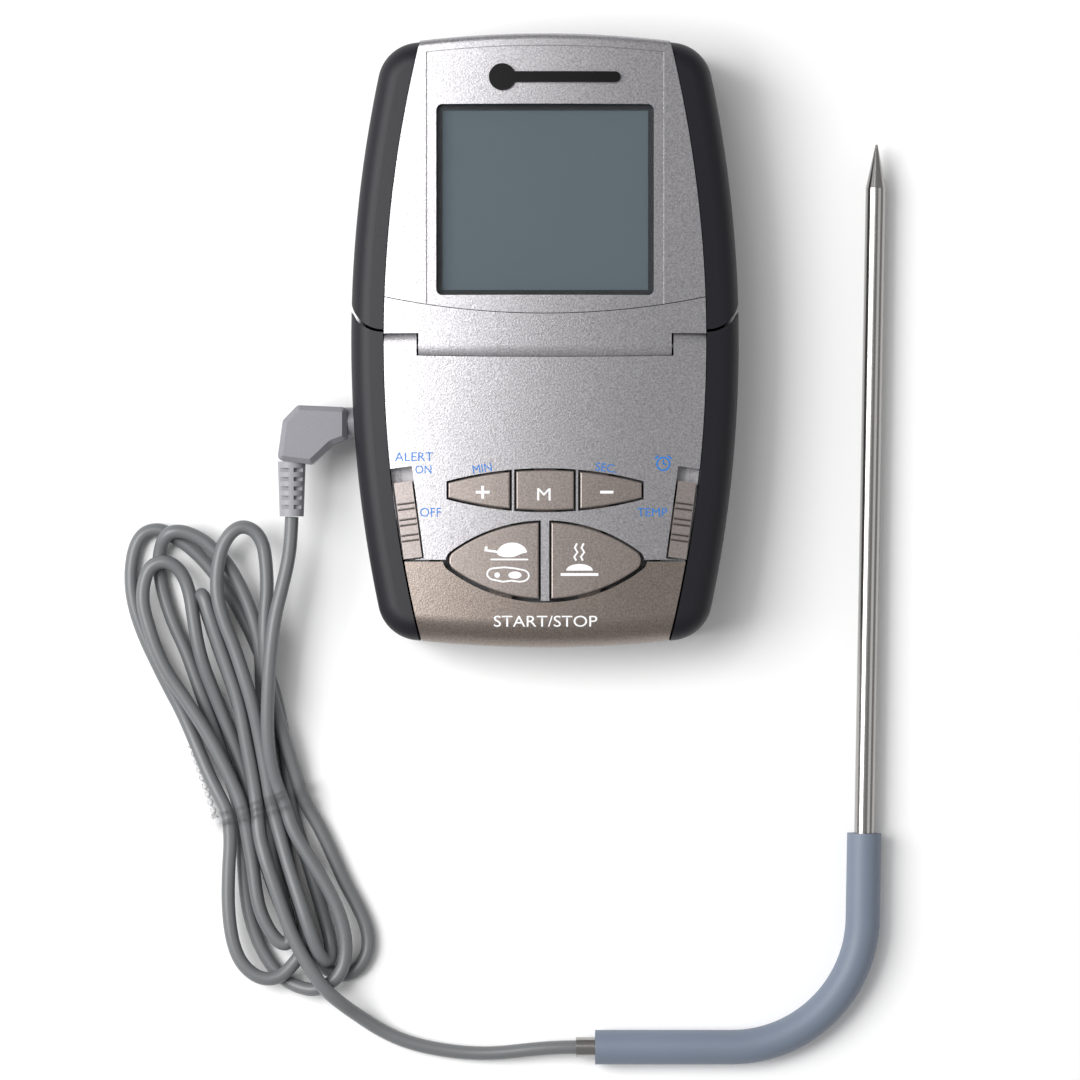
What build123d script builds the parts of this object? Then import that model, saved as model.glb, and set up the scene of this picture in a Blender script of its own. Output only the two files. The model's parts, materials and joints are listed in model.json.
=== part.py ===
"""Oven meat thermometer: a two-leaf timer case with a tilting display, six keys and two slide
switches, and a steel probe on a thin lead that plugs into its side.

Millimetres. The case lies on its back: +Z is up out of its face and +Y runs to the top of the display.
The origin is the middle of the case's back face, on the surface it rests on.
"""
import os
from math import cos, pi, radians, sin, tan

from build123d import *

# ---------------------------------------------------------------- driving dimensions
half_width = 35.1            # case, middle to side
half_length = 55.3           # case, middle to end
crest = 21.0                 # height of the face along the middle
crown_radius = 173.0         # curve of the face from side to side
side_radius = 233.0          # curve of each long side, in plan
end_radius = 214.0           # curve of each end, in plan
corner_radius = 7.6          # plan corners
grip_round = 4.2             # face edge of the soft grips
top_round = 1.3              # face edge of the display's frame
end_round = 5.0              # face edge of the start/stop key
back_round = 1.6             # back edge, all round
wall = 1.8                   # moulded walls
grip_width = 5.9             # soft grips, in plan
parting = 12.0               # height where front and rear mouldings meet

# Clearances
seam = 0.15                  # between fixed neighbours
key_gap = 0.35               # round each key and slider
swing_gap = 0.35             # between display and base, round the hinge
running = 0.05               # a shaft turning or sliding in its bore

# Hinge
hinge_y = -0.9
hinge_z = 15.0
leaf_gap = 0.3               # from the hinge axis to each leaf's end wall
tab_half = 22.8              # half length of the rolled nose between the ears
strip_lower = 2.26           # axis to the strip's lower edge, beside the nose
strip_middle_y = 4.9         # seam between strip and display frame, in the middle
strip_side_y = 8.0           # the same seam at the grips
horn_radius = 5.9            # rounded lower end of each display grip
gusset = 0.6                 # corner block where the grip's rib meets its wall
gusset_y = 0.9
jack_room = 0.4              # round the plug's barrel and collar
plug_round = 1.0
plug_chamfer = 0.9
tie_lift = 0.1               # the tie's underside above the table
recess_long = 2.0            # cross recess in a screw head
recess_wide = 0.4
buzzer_y = 28.0
buzzer_radius = 9.0
buzzer_height = 3.4
badge_stem = 1.9
badge_bulb = 2.4
door_groove_long = 12.0
door_groove_wide = 0.7
door_groove_step = 1.6
door_groove_drop = 8.0
door_groove_deep = 0.4
lever_room = 0.3             # round a switch's lever
horn_gap = 0.5               # between display grips and base grips
pin_radius = 1.25
pin_inner = 20.9
pin_outer = 27.4
nose_arc = 112               # degrees of rolled nose, from the top round to the underside

# Display
window_half = 19.6
window_low = 8.2
window_high = 42.6
window_corner = 1.1
frame_step = 0.4             # sunk middle of the display frame
frame_half = 21.45
frame_rim = 2.2
lens_top = 18.5
lens_thick = 0.8
cell_thick = 2.2
cell_margin = 0.5            # cell wider than the window
frame_margin = 1.8           # cell holder wider than the window
zebra_height = 0.8
zebra_width = 1.6
board_thick = 1.2
board_half = 22.0
head_board_top_y = 46.0
badge_length = 23.7
badge_height = 0.8
badge_y = 47.4
badge_x = 1.75
head_screw_places = [(-20.0, 48.3), (20.0, 48.3), (-24.6, 12.0), (24.6, 12.0)]

# Base
panel_end_y = -39.45         # silver panel ends, start/stop key begins
row_y = -26.95               # plus, memory and minus keys
row_half_height = 3.62
row_arc = 68.0
row_half_length = 17.4
row_split = 5.2              # half width of the memory key
row_bar = 1.1                # silver bar between the keys of the row
oval_y = -39.6               # meat and taste keys
oval_half_height = 6.9
oval_half_length = 18.5
oval_tip = 2.0
oval_bar = 1.5
key_proud = 0.35
key_edge = 0.3
key_foot = 16.4              # underside of the keys
key_stroke = 0.6
flange_top = 17.6
flange_reach = 1.0
trim_thick = 1.6
trim_low = 5.0               # lower edge of the start/stop key, on the case's end
slider_length = 13.8
slider_width = 3.3
slider_travel = 2.3
slider_lean = 7.6            # degrees, along the grips
slider_x = 24.7
slider_y = -32.3
slider_foot = 16.8
slider_proud = 0.2
groove_depth = 0.35
groove_width = 0.5
groove_spacing = 2.85
lever_radius = 0.5
lever_depth = 1.0
mat_thick = 0.8
pill_radius = 1.9
pill_height = 0.3
switch_height = 2.0
switch_inset = 3.1            # switch and lever, inwards of the slider
slider_heel = 0.5            # thickness of the slider's inward arm
switch_length = 10.0
switch_width = 3.2
battery_radius = 5.25
battery_length = 44.5
battery_lift = 0.3
battery_pitch = 11.6
battery_y = -30.2
contact_thick = 0.5
door_half = 20.0
door_top_y = -18.0
door_tongue = 1.0
door_tongue_thick = 0.6
base_screw_places = [(-12.0, -12.6), (12.0, -12.6)]
boss_radius = 2.3
screw_radius = 1.0
screw_head_radius = 1.9
screw_head_height = 1.3
screw_sink = 1.0
screw_length = 14.5

# Probe lead
cord_diameter = 2.5
jack_y = -14.5
jack_z = 9.0
jack_radius = 1.25
jack_length = 12.5
collar_radius = 2.75
plug_face_x = -35.3
plug_thick = 7.6
relief_top = 5.1
relief_bottom = 4.4
relief_low_y = -31.6
relief_x = -46.1
tube_radius = 1.85
sleeve_radius = 3.15
probe_bend_radius = 24.0
probe_tip_point = (60.75, 36.5)
probe_corner = (57.8, -128.8)
probe_inner_x = 5.7
sleeve_end_x = 9.2
sleeve_top_y = -89.6
tip_length = 8.0

hinge_axis = Axis((0, hinge_y, hinge_z), (1, 0, 0))
far = 90.0                   # past every face of the case
lens_bottom = lens_top - lens_thick
cell_bottom = lens_bottom - 0.3 - cell_thick
display_board_top = cell_bottom - zebra_height
main_board_top = 14.4
mat_top = main_board_top + mat_thick


# ---------------------------------------------------------------- shared forms
def case_plan(inset):
    """Plan of the whole case, drawn in by inset: four long arcs with rounded corners."""
    with BuildSketch() as plan:
        with Locations((half_width - side_radius, 0)):
            Circle(side_radius - inset)
        with Locations((side_radius - half_width, 0)):
            Circle(side_radius - inset, mode=Mode.INTERSECT)
        with Locations((0, half_length - end_radius)):
            Circle(end_radius - inset, mode=Mode.INTERSECT)
        with Locations((0, end_radius - half_length)):
            Circle(end_radius - inset, mode=Mode.INTERSECT)
        fillet(plan.vertices(), corner_radius - inset)
    return plan.sketch


def core_plan(inset, low=-far, high=far):
    """Plan of the middle of the case, between the grips, from low to high in Y."""
    with BuildSketch() as plan:
        with Locations((half_width - side_radius, 0)):
            Circle(side_radius - grip_width - inset)
        with Locations((side_radius - half_width, 0)):
            Circle(side_radius - grip_width - inset, mode=Mode.INTERSECT)
        with Locations((0, (low + high) / 2)):
            Rectangle(3 * half_width, high - low, mode=Mode.INTERSECT)
    return plan.sketch


def case_form(inset, face_round):
    """The case's outer form, drawn in by inset, with face_round on the edge of its face."""
    plan = case_plan(inset)
    with BuildPart() as form:
        with BuildSketch(Plane.XY.offset(inset)):
            add(plan)
        extrude(amount=2 * crest)
        with BuildSketch(Plane.XZ):
            with Locations((0, crest - crown_radius)):
                Circle(crown_radius - inset)
        extrude(amount=2 * far, both=True, mode=Mode.INTERSECT)
        fillet(form.faces().sort_by(Axis.Z)[-1].edges(), max(face_round - inset, 0.3))
        fillet(form.faces().sort_by(Axis.Z)[0].edges(), max(back_round - inset, 0.3))
    return form.part


def crown_form(rise):
    """All that lies under the curved face raised by rise, with no edge rounding."""
    with BuildPart() as form:
        with BuildSketch(Plane.XZ):
            with Locations((0, crest - crown_radius)):
                Circle(crown_radius + rise)
            with Locations((0, -far)):
                Rectangle(8 * far, 2 * far, mode=Mode.SUBTRACT)
        extrude(amount=2 * far, both=True)
    return form.part


def block(x_span, y_span, z_span):
    """A plain block between two X, two Y and two Z values."""
    with BuildPart() as made:
        with Locations((sum(x_span) / 2, sum(y_span) / 2, sum(z_span) / 2)):
            Box(x_span[1] - x_span[0], y_span[1] - y_span[0], z_span[1] - z_span[0])
    return made.part


def rod(start, direction, radius, length):
    """A round rod from start along direction."""
    with BuildPart() as made:
        with BuildSketch(Plane(start, z_dir=direction)):
            Circle(radius)
        extrude(amount=length)
    return made.part


def slab(plan, low, high):
    """A plan drawn up from one height to another."""
    with BuildPart() as made:
        with BuildSketch(Plane.XY.offset(low)):
            add(plan)
        extrude(amount=high - low)
    return made.part


def barrel_form(inset, half, arc=360):
    """The body of revolution about the hinge axis whose outline is the curve of the face.

    An arc under 360 starts at the top and turns towards the base.
    """
    with BuildPart() as form:
        with BuildSketch(Plane.XZ.offset(-hinge_y)):
            with Locations((0, crest - crown_radius)):
                Circle(crown_radius - inset)
            with Locations((0, hinge_z + crest / 2)):
                Rectangle(2 * half, crest, mode=Mode.INTERSECT)
        revolve(axis=hinge_axis, revolution_arc=arc)
    return form.part


def horn_plan(side, inset):
    """Plan of the display grip's rounded lower end and all above it, on one side."""
    with BuildSketch() as plan:
        with Locations((side * (half_width - grip_width), strip_side_y)):
            Circle(horn_radius - inset)
        with Locations((side * far / 2, strip_side_y + far / 2)):
            Rectangle(far, far)
    return plan.sketch


outer = case_form(0, grip_round)
frame_outer = case_form(0, top_round)
trim_outer = case_form(0, end_round)
cavity = case_form(wall, grip_round)
frame_cavity = case_form(wall, top_round)
trim_cavity = case_form(trim_thick, end_round)
core_skirt_outer = core_plan(seam)
core_skirt_inner = core_plan(seam + wall)
sunk_plan = case_plan(frame_rim)
tab_block = block((-tab_half, tab_half), (-far, far), (-far, far))


# ---------------------------------------------------------------- display leaf
def strip_seam(lift):
    """Plan of everything above the curved seam between strip and display frame."""
    drop = strip_side_y - strip_middle_y
    reach = half_width - grip_width
    seam_radius = (reach ** 2 + drop ** 2) / (2 * drop)
    with BuildSketch() as plan:
        with Locations((0, strip_middle_y + lift + far / 2)):
            Rectangle(4 * far, far)
        with Locations((0, strip_middle_y + lift + seam_radius)):
            Circle(seam_radius, mode=Mode.INTERSECT)
    return plan.sketch


def hollow(form, room):
    """A moulding's walls: the room within the skirts, as deep as form allows."""
    with BuildPart() as made:
        add(form)
        add(room, mode=Mode.INTERSECT)
    return made.part


core_block = slab(core_skirt_outer, -crest, 2 * crest)
skirt_room = slab(core_skirt_inner, -crest, 2 * crest)
frame_room = hollow(frame_cavity, skirt_room)
case_room = hollow(cavity, skirt_room)
trim_room = hollow(trim_cavity, skirt_room)
frame_slab = slab(strip_seam(seam / 2), parting, 2 * crest)
above_strip = slab(strip_seam(-seam / 2), 0, 2 * crest)
above_face = crown_form(1)
sunk_face = crown_form(-frame_step)
leaf_y = hinge_y + leaf_gap
strip_y = hinge_y + strip_lower

with BuildPart() as sunk_middle:
    with BuildSketch():
        add(sunk_plan)
        Rectangle(2 * frame_half, 2 * far, mode=Mode.INTERSECT)
    extrude(amount=2 * crest)
    add(above_face, mode=Mode.INTERSECT)
    add(sunk_face, mode=Mode.SUBTRACT)

with BuildPart() as display_bezel:
    add(frame_outer)
    add(core_block, mode=Mode.INTERSECT)
    add(frame_slab, mode=Mode.INTERSECT)
    add(frame_room, mode=Mode.SUBTRACT)
    add(sunk_middle.part, mode=Mode.SUBTRACT)
    with BuildSketch(Plane.XY.offset(parting)):
        with Locations((0, (window_low + window_high) / 2)):
            RectangleRounded(2 * window_half, window_high - window_low, window_corner)
    extrude(amount=2 * crest, mode=Mode.SUBTRACT)
    with BuildSketch(Plane.XY.offset(parting)):
        with Locations(*head_screw_places):
            Circle(boss_radius)
            Circle(screw_radius, mode=Mode.SUBTRACT)
    extrude(amount=lens_bottom - parting)
display_bezel.part.label = "display_bezel"

nose_half = barrel_form(0, tab_half, nose_arc)
nose_inner = barrel_form(wall, tab_half - wall)
nose_full = barrel_form(0, tab_half)
ear_room = barrel_form(-swing_gap, half_width - grip_width)

with BuildPart() as nose:
    add(nose_half)
    add(nose_inner, mode=Mode.SUBTRACT)

with BuildPart() as nose_ends:
    add(nose_full)
    add(block((wall - tab_half, tab_half - wall), (-far, far), (-far, far)), mode=Mode.SUBTRACT)

with BuildPart() as ears_swing:
    add(ear_room)
    add(tab_block, mode=Mode.SUBTRACT)

with BuildPart() as hinge_cover:
    add(frame_outer)
    add(core_block, mode=Mode.INTERSECT)
    add(block((-far, far), (hinge_y, strip_side_y + 1), (parting, 2 * crest)), mode=Mode.INTERSECT)
    add(above_strip, mode=Mode.SUBTRACT)
    add(frame_room, mode=Mode.SUBTRACT)
    for side in (-1, 1):
        ear_span = sorted((side * tab_half, side * half_width))
        add(block(ear_span, (-far, strip_y), (-far, far)), mode=Mode.SUBTRACT)
    add(ears_swing.part, mode=Mode.SUBTRACT)
    add(nose.part)
    add(nose_ends.part)
    add(rod((-tab_half, hinge_y, hinge_z), (1, 0, 0), pin_radius + running, 2 * tab_half),
        mode=Mode.SUBTRACT)
hinge_cover.part.label = "hinge_cover"

with BuildPart() as rear_room:
    add(case_room)
    add(block((-far, far), (leaf_y + wall, far), (-1, far)), mode=Mode.INTERSECT)

with BuildPart() as display_rear_cover:
    add(outer)
    add(core_block, mode=Mode.INTERSECT)
    add(block((-far, far), (leaf_y, far), (-1, parting)), mode=Mode.INTERSECT)
    add(rear_room.part, mode=Mode.SUBTRACT)
    add(ear_room, mode=Mode.SUBTRACT)
    with BuildSketch(Plane.XY.offset(wall / 2)):
        with Locations(*head_screw_places):
            Circle(boss_radius)
    extrude(amount=parting - wall / 2)
    with BuildSketch():
        with Locations(*head_screw_places):
            Circle(screw_radius + running)
    extrude(amount=parting, mode=Mode.SUBTRACT)
    with BuildSketch():
        with Locations(*head_screw_places):
            Circle(screw_head_radius + running)
    extrude(amount=screw_sink + screw_head_height, mode=Mode.SUBTRACT)
display_rear_cover.part.label = "display_rear_cover"


def ring_slab(x_half, y_span, margin, low, high):
    """A flat rectangular frame of the given margin round an opening."""
    with BuildPart() as made:
        with BuildSketch(Plane.XY.offset(low)):
            with Locations((0, sum(y_span) / 2)):
                Rectangle(2 * (x_half + margin), y_span[1] - y_span[0] + 2 * margin)
                Rectangle(2 * x_half, y_span[1] - y_span[0], mode=Mode.SUBTRACT)
        extrude(amount=high - low)
    return made.part


window_span = (window_low, window_high)
cell_half = window_half + cell_margin
cell_span = (window_low - cell_margin, window_high + cell_margin)

with BuildPart() as window_lens:
    with BuildSketch(Plane.XY.offset(lens_bottom)):
        with Locations((0, sum(window_span) / 2)):
            RectangleRounded(2 * (window_half - running), window_high - window_low - 2 * running,
                             window_corner)
    extrude(amount=lens_thick)

with BuildPart() as lcd_cell:
    add(block((-cell_half, cell_half), cell_span, (cell_bottom, cell_bottom + cell_thick)))

holder = ring_slab(cell_half + running, (cell_span[0] - running, cell_span[1] + running),
                   frame_margin - cell_margin, cell_bottom, lens_bottom)
holder_lip = ring_slab(window_half - 1, (window_low + 1, window_high - 1), 2,
                       cell_bottom + cell_thick, lens_bottom)
with BuildPart() as lcd_frame:
    add(holder)
    add(holder_lip)

with BuildPart() as zebra_strips:
    for strip_row in (cell_span[0] + zebra_width, cell_span[1] - zebra_width):
        add(block((2 - cell_half, cell_half - 2),
                  (strip_row - zebra_width / 2, strip_row + zebra_width / 2),
                  (display_board_top, cell_bottom)))

board_span = (strip_middle_y + 1, head_board_top_y)
with BuildPart() as display_board:
    add(block((-board_half, board_half), board_span,
              (display_board_top - board_thick, display_board_top)))

with BuildPart() as front_badge:
    with BuildSketch(Plane.XY.offset(lens_top)):
        with Locations((badge_x, badge_y)):
            SlotOverall(badge_length, badge_stem)
        with Locations((badge_x - badge_length / 2 + badge_bulb, badge_y)):
            Circle(badge_bulb)
    extrude(amount=crest)
    add(crown_form(badge_height - frame_step), mode=Mode.INTERSECT)
    add(sunk_face, mode=Mode.SUBTRACT)

with BuildPart() as buzzer:
    add(rod((0, buzzer_y, wall), (0, 0, 1), buzzer_radius, buzzer_height))

horns = {side: slab(horn_plan(side, 0), -1, 2 * crest) for side in (-1, 1)}
horn_rooms = {side: slab(horn_plan(side, wall), -1, 2 * crest) for side in (-1, 1)}
horn_clear = {side: slab(horn_plan(side, -horn_gap), -1, 2 * crest) for side in (-1, 1)}
side_blocks = {side: block(sorted((side * tab_half / 2, side * far)), (-far, far), (-far, far))
               for side in (-1, 1)}
core_keep = slab(core_plan(0), -crest, 2 * crest)

# Room for the base grip's upper end to pass as the display swings over it
with BuildPart() as swing_room:
    with BuildSketch(Plane.XY.offset(hinge_z)):
        with BuildLine():
            Polyline((half_width - grip_width, hinge_y), (half_width - grip_width, hinge_y + 4.45),
                     (half_width - 2, hinge_y + 4.6), (half_width - 1, hinge_y + 5.5),
                     (half_width + 1, hinge_y + 6.4), (half_width + 1, hinge_y),
                     close=True)
        make_face()
        mirror(about=Plane.YZ)
    revolve(axis=hinge_axis)


def grip(side, keep, room):
    """A soft side grip: its walls, open towards the middle of the case."""
    with BuildPart() as made:
        add(outer)
        add(side_blocks[side], mode=Mode.INTERSECT)
        add(core_keep, mode=Mode.SUBTRACT)
        add(keep, mode=Mode.INTERSECT)
        add(room, mode=Mode.SUBTRACT)
    return made.part


def display_grip(side):
    """The upper grip of one side, with its rounded lower end."""
    room = hollow(cavity, horn_rooms[side])
    with BuildPart() as made:
        add(grip(side, horns[side], room))
        add(swing_room.part, mode=Mode.SUBTRACT)
    return made.part


with BuildPart() as display_grip_left:
    add(display_grip(-1))
with BuildPart() as display_grip_right:
    add(display_grip(1))

case_screw = {}
for leaf, places in (("display", head_screw_places), ("base", base_screw_places)):
    with BuildPart() as screws:
        with BuildSketch(Plane.XY.offset(screw_sink)):
            with Locations(*places):
                Circle(screw_head_radius)
        extrude(amount=screw_head_height)
        with BuildSketch(Plane.XY.offset(screw_sink)):
            with Locations(*places):
                Circle(screw_radius)
        extrude(amount=screw_length)
        with BuildSketch(Plane.XY.offset(screw_sink)):
            with Locations(*places):
                Rectangle(recess_long, recess_wide)
                Rectangle(recess_wide, recess_long)
        extrude(amount=screw_head_height / 2, mode=Mode.SUBTRACT)
    case_screw[leaf] = screws.part

# ---------------------------------------------------------------- base leaf


def row_plan(x_span, grow):
    """Plan of part of the row of keys, between two X values, grown by grow."""
    with BuildSketch() as plan:
        with Locations((0, row_y + row_half_height - row_arc)):
            Circle(row_arc + grow)
        with Locations((0, row_y - row_half_height + row_arc)):
            Circle(row_arc + grow, mode=Mode.INTERSECT)
        with Locations((sum(x_span) / 2, row_y)):
            Rectangle(x_span[1] - x_span[0] + 2 * grow, 4 * row_half_height, mode=Mode.INTERSECT)
    return plan.sketch


def oval_plan(side, grow):
    """Plan of one half of the oval pair of keys, grown by grow; side 0 is the whole oval."""
    arc = (oval_half_length ** 2 + oval_half_height ** 2) / (2 * oval_half_height)
    with BuildSketch() as plan:
        with Locations((0, oval_y + oval_half_height - arc)):
            Circle(arc + grow)
        with Locations((0, oval_y - oval_half_height + arc)):
            Circle(arc + grow, mode=Mode.INTERSECT)
        fillet(plan.vertices(), oval_tip)
        if side:
            with Locations((side * (oval_bar / 2 + key_gap - grow + far / 2), oval_y)):
                Rectangle(far, far, mode=Mode.INTERSECT)
    return plan.sketch


def trim_plan(grow):
    """Plan of the start/stop key: the case's lower end, less the oval."""
    with BuildSketch() as plan:
        add(core_plan(key_gap - grow, -far, panel_end_y - key_gap + grow))
        add(oval_plan(0, key_gap + 0.3 - grow), mode=Mode.SUBTRACT)
    return plan.sketch


def slider_plane(side, height):
    """A plane at a slider's place whose Y runs along its slot, away from the start/stop key."""
    along = (side * sin(radians(slider_lean)), cos(radians(slider_lean)), 0)
    across = (along[1], -along[0], 0)
    return Plane((side * slider_x, slider_y, height), x_dir=across, z_dir=(0, 0, 1))


row_spans = {
    "plus": (-row_half_length, -row_split - row_bar),
    "memory": (-row_split, row_split),
    "minus": (row_split + row_bar, row_half_length),
}
key_plans = {name: row_plan(span, 0) for name, span in row_spans.items()}
key_holes = {name: row_plan(span, key_gap) for name, span in row_spans.items()}
key_plans["meat"] = oval_plan(-1, 0)
key_plans["taste"] = oval_plan(1, 0)
key_holes["meat"] = oval_plan(-1, key_gap)
key_holes["taste"] = oval_plan(1, key_gap)
key_centres = {"plus": (-9.5, row_y), "memory": (0, row_y), "minus": (9.5, row_y),
               "meat": (-8.0, oval_y), "taste": (8.0, oval_y)}
flange_halves = {"plus": 3.2, "memory": row_half_height, "minus": 3.2,
                 "meat": 6.4, "taste": 6.4}

face_proud = crown_form(key_proud)
slider_face = crown_form(slider_proud)


def key(name):
    """One key: its cap through the face, and the flanges that hold it under the face."""
    centre = key_centres[name]
    with BuildPart() as made:
        with BuildSketch(Plane.XY.offset(key_foot)):
            add(key_plans[name])
        extrude(amount=crest)
        add(face_proud, mode=Mode.INTERSECT)
        fillet(made.faces().sort_by(Axis.Z)[-1].edges(), key_edge)
        with BuildSketch(Plane.XY.offset(key_foot)):
            with Locations(centre):
                Rectangle(4, 2 * (flange_halves[name] + flange_reach))
        extrude(amount=flange_top - key_foot)
    return made.part



with BuildPart() as ears:
    add(barrel_form(0, half_width - grip_width - seam))
    add(block((-tab_half - swing_gap, tab_half + swing_gap), (-far, far), (-far, far)),
        mode=Mode.SUBTRACT)
    add(block((-far, far), (-far, far), (parting, far)), mode=Mode.INTERSECT)

trough_room = barrel_form(-swing_gap, tab_half + swing_gap)
with BuildPart() as trough:
    add(barrel_form(-swing_gap - wall, tab_half + swing_gap + wall, nose_arc))
    add(outer, mode=Mode.INTERSECT)

with BuildPart() as panel_top:
    add(outer)
    add(core_block, mode=Mode.INTERSECT)
    add(cavity, mode=Mode.SUBTRACT)
    add(block((-far, far), (hinge_y - 2 * leaf_gap, hinge_y), (parting, far)),
        mode=Mode.INTERSECT)

with BuildPart() as bar:
    with BuildSketch():
        with Locations((0, oval_y - key_gap)):
            Rectangle(oval_bar, 2 * oval_half_height)
    extrude(amount=2 * crest)
    add(outer, mode=Mode.INTERSECT)
    add(block((-far, far), (-far, far), (crest - 2 * wall, far)), mode=Mode.INTERSECT)

with BuildPart() as base_front_cover:
    add(outer)
    add(core_block, mode=Mode.INTERSECT)
    add(block((-far, far), (panel_end_y, hinge_y - leaf_gap), (parting, far)), mode=Mode.INTERSECT)
    add(case_room, mode=Mode.SUBTRACT)
    add(trough.part)
    add(panel_top.part)
    add(ears.part)
    add(trough_room, mode=Mode.SUBTRACT)
    add(bar.part)
    for name, plan in key_holes.items():
        with BuildSketch(Plane.XY.offset(parting)):
            add(plan)
        extrude(amount=2 * crest, mode=Mode.SUBTRACT)
    for side in (-1, 1):
        with BuildSketch(slider_plane(side, slider_foot - key_gap)):
            with Locations((0, slider_travel / 2)):
                Rectangle(slider_width + 2 * key_gap,
                          slider_length + slider_travel + 2 * key_gap)
        extrude(amount=crest, mode=Mode.SUBTRACT)
    with BuildSketch(Plane.XY.offset(parting)):
        with Locations(*base_screw_places):
            Circle(boss_radius)
            Circle(screw_radius, mode=Mode.SUBTRACT)
    extrude(amount=crest - wall - parting)
    add(rod((-pin_outer, hinge_y, hinge_z), (1, 0, 0), pin_radius, 2 * pin_outer),
        mode=Mode.SUBTRACT)

base_front_cover.part.label = "base_front_cover"

door_channel = block((-door_half - running, door_half + running), (-far, door_top_y + seam),
                     (-1, wall + 0.01))
tongue_low = (wall - door_tongue_thick) / 2
tongue_channel = block((-door_half - door_tongue - running, door_half + door_tongue + running),
                       (-far, door_top_y + seam),
                       (tongue_low - running, tongue_low + door_tongue_thick + running))

trough_clear = barrel_form(-swing_gap - wall - seam, tab_half + swing_gap + wall + seam)
with BuildPart() as base_rear_room:
    add(case_room)
    add(block((-far, far), (-far, hinge_y - leaf_gap - wall), (-1, far)), mode=Mode.INTERSECT)

with BuildPart() as base_rear_cover:
    add(outer)
    add(core_block, mode=Mode.INTERSECT)
    add(block((-far, far), (-far, hinge_y - leaf_gap), (-1, parting)), mode=Mode.INTERSECT)
    add(base_rear_room.part, mode=Mode.SUBTRACT)
    add(block((-far, far), (-far, panel_end_y + 1), (trim_low - key_stroke - 0.4, far)),
        mode=Mode.SUBTRACT)
    with BuildSketch(Plane.XY.offset(wall / 2)):
        with Locations(*base_screw_places):
            Circle(boss_radius)
    extrude(amount=parting - wall / 2)
    add(trough_clear, mode=Mode.SUBTRACT)
    with BuildSketch():
        with Locations(*base_screw_places):
            Circle(screw_radius + running)
    extrude(amount=parting, mode=Mode.SUBTRACT)
    with BuildSketch():
        with Locations(*base_screw_places):
            Circle(screw_head_radius + running)
    extrude(amount=screw_sink + screw_head_height, mode=Mode.SUBTRACT)
    add(door_channel, mode=Mode.SUBTRACT)
    add(tongue_channel, mode=Mode.SUBTRACT)
    add(rod((-far, jack_y, jack_z), (1, 0, 0), jack_radius + jack_room, far), mode=Mode.SUBTRACT)

with BuildPart() as tongues:
    add(outer)
    add(block((-door_half - door_tongue, door_half + door_tongue),
              (2 * door_tongue - half_length, door_top_y),
              (tongue_low, tongue_low + door_tongue_thick)), mode=Mode.INTERSECT)

with BuildPart() as battery_door:
    add(outer)
    add(block((-door_half, door_half), (-far, door_top_y), (-1, wall)), mode=Mode.INTERSECT)
    add(tongues.part)
    with BuildSketch():
        with GridLocations(0, door_groove_step, 1, 5):
            with Locations((0, door_top_y - door_groove_drop)):
                SlotOverall(door_groove_long, door_groove_wide)
    extrude(amount=door_groove_deep, mode=Mode.SUBTRACT)


def base_grip(side):
    """The lower grip of one side, hollowed to take the round end of the display's grip."""
    keep = block((-far, far), (-far, strip_side_y), (-far, far))
    with BuildPart() as made:
        add(grip(side, keep, hollow(cavity, lower_rooms[side])))
        add(horn_clear[side], mode=Mode.SUBTRACT)
        add(block(sorted((side * (half_width - wall - gusset), side * (half_width - wall + gusset))),
                  (gusset_y - gusset, gusset_y + gusset / 2), (wall - gusset, wall + gusset)))
    return made.part


lower_rooms = {}
for side in (-1, 1):
    with BuildPart() as lower_room:
        add(block((-far, far), (-far, strip_side_y), (-far, far)))
        add(slab(horn_plan(side, -horn_gap - wall), -far, far), mode=Mode.SUBTRACT)
    lower_rooms[side] = lower_room.part

left_grip = base_grip(-1)
with BuildPart() as base_grip_left:
    add(left_grip)
    add(rod((-far, jack_y, jack_z), (1, 0, 0), collar_radius + jack_room, far), mode=Mode.SUBTRACT)
right_grip = mirror(left_grip, about=Plane.YZ)
with BuildPart() as base_grip_right:
    add(right_grip)

board_plan = core_plan(seam + wall + seam, -half_length + 5.5, hinge_y - crest / 2 + hinge_z / 10)
with BuildPart() as main_board:
    with BuildSketch(Plane.XY.offset(main_board_top - board_thick)):
        add(board_plan)
        with Locations(*base_screw_places):
            Circle(boss_radius + seam, mode=Mode.SUBTRACT)
    extrude(amount=board_thick)

with BuildPart() as keypad_mat:
    with BuildSketch(Plane.XY.offset(main_board_top)):
        with Locations((0, (row_y + row_half_height - half_length + 7) / 2)):
            RectangleRounded(2 * (row_half_length + 1.5), row_y + row_half_height + half_length - 7, 2)
    extrude(amount=mat_thick)
    with BuildSketch(Plane.XY.offset(mat_top)):
        with Locations(*key_centres.values()):
            Circle(pill_radius)
        with Locations((0, oval_y - oval_half_height - 1.6)):
            Circle(pill_radius / 2)
    extrude(amount=pill_height)

keys = {}
for name in key_centres:
    keys[name] = key(name)

with BuildPart() as start_stop_key:
    add(trim_outer)
    with BuildSketch():
        add(trim_plan(0))
    extrude(amount=2 * crest, mode=Mode.INTERSECT)
    add(block((-far, far), (-far, far), (trim_low, far)), mode=Mode.INTERSECT)
    add(trim_cavity, mode=Mode.SUBTRACT)


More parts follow.
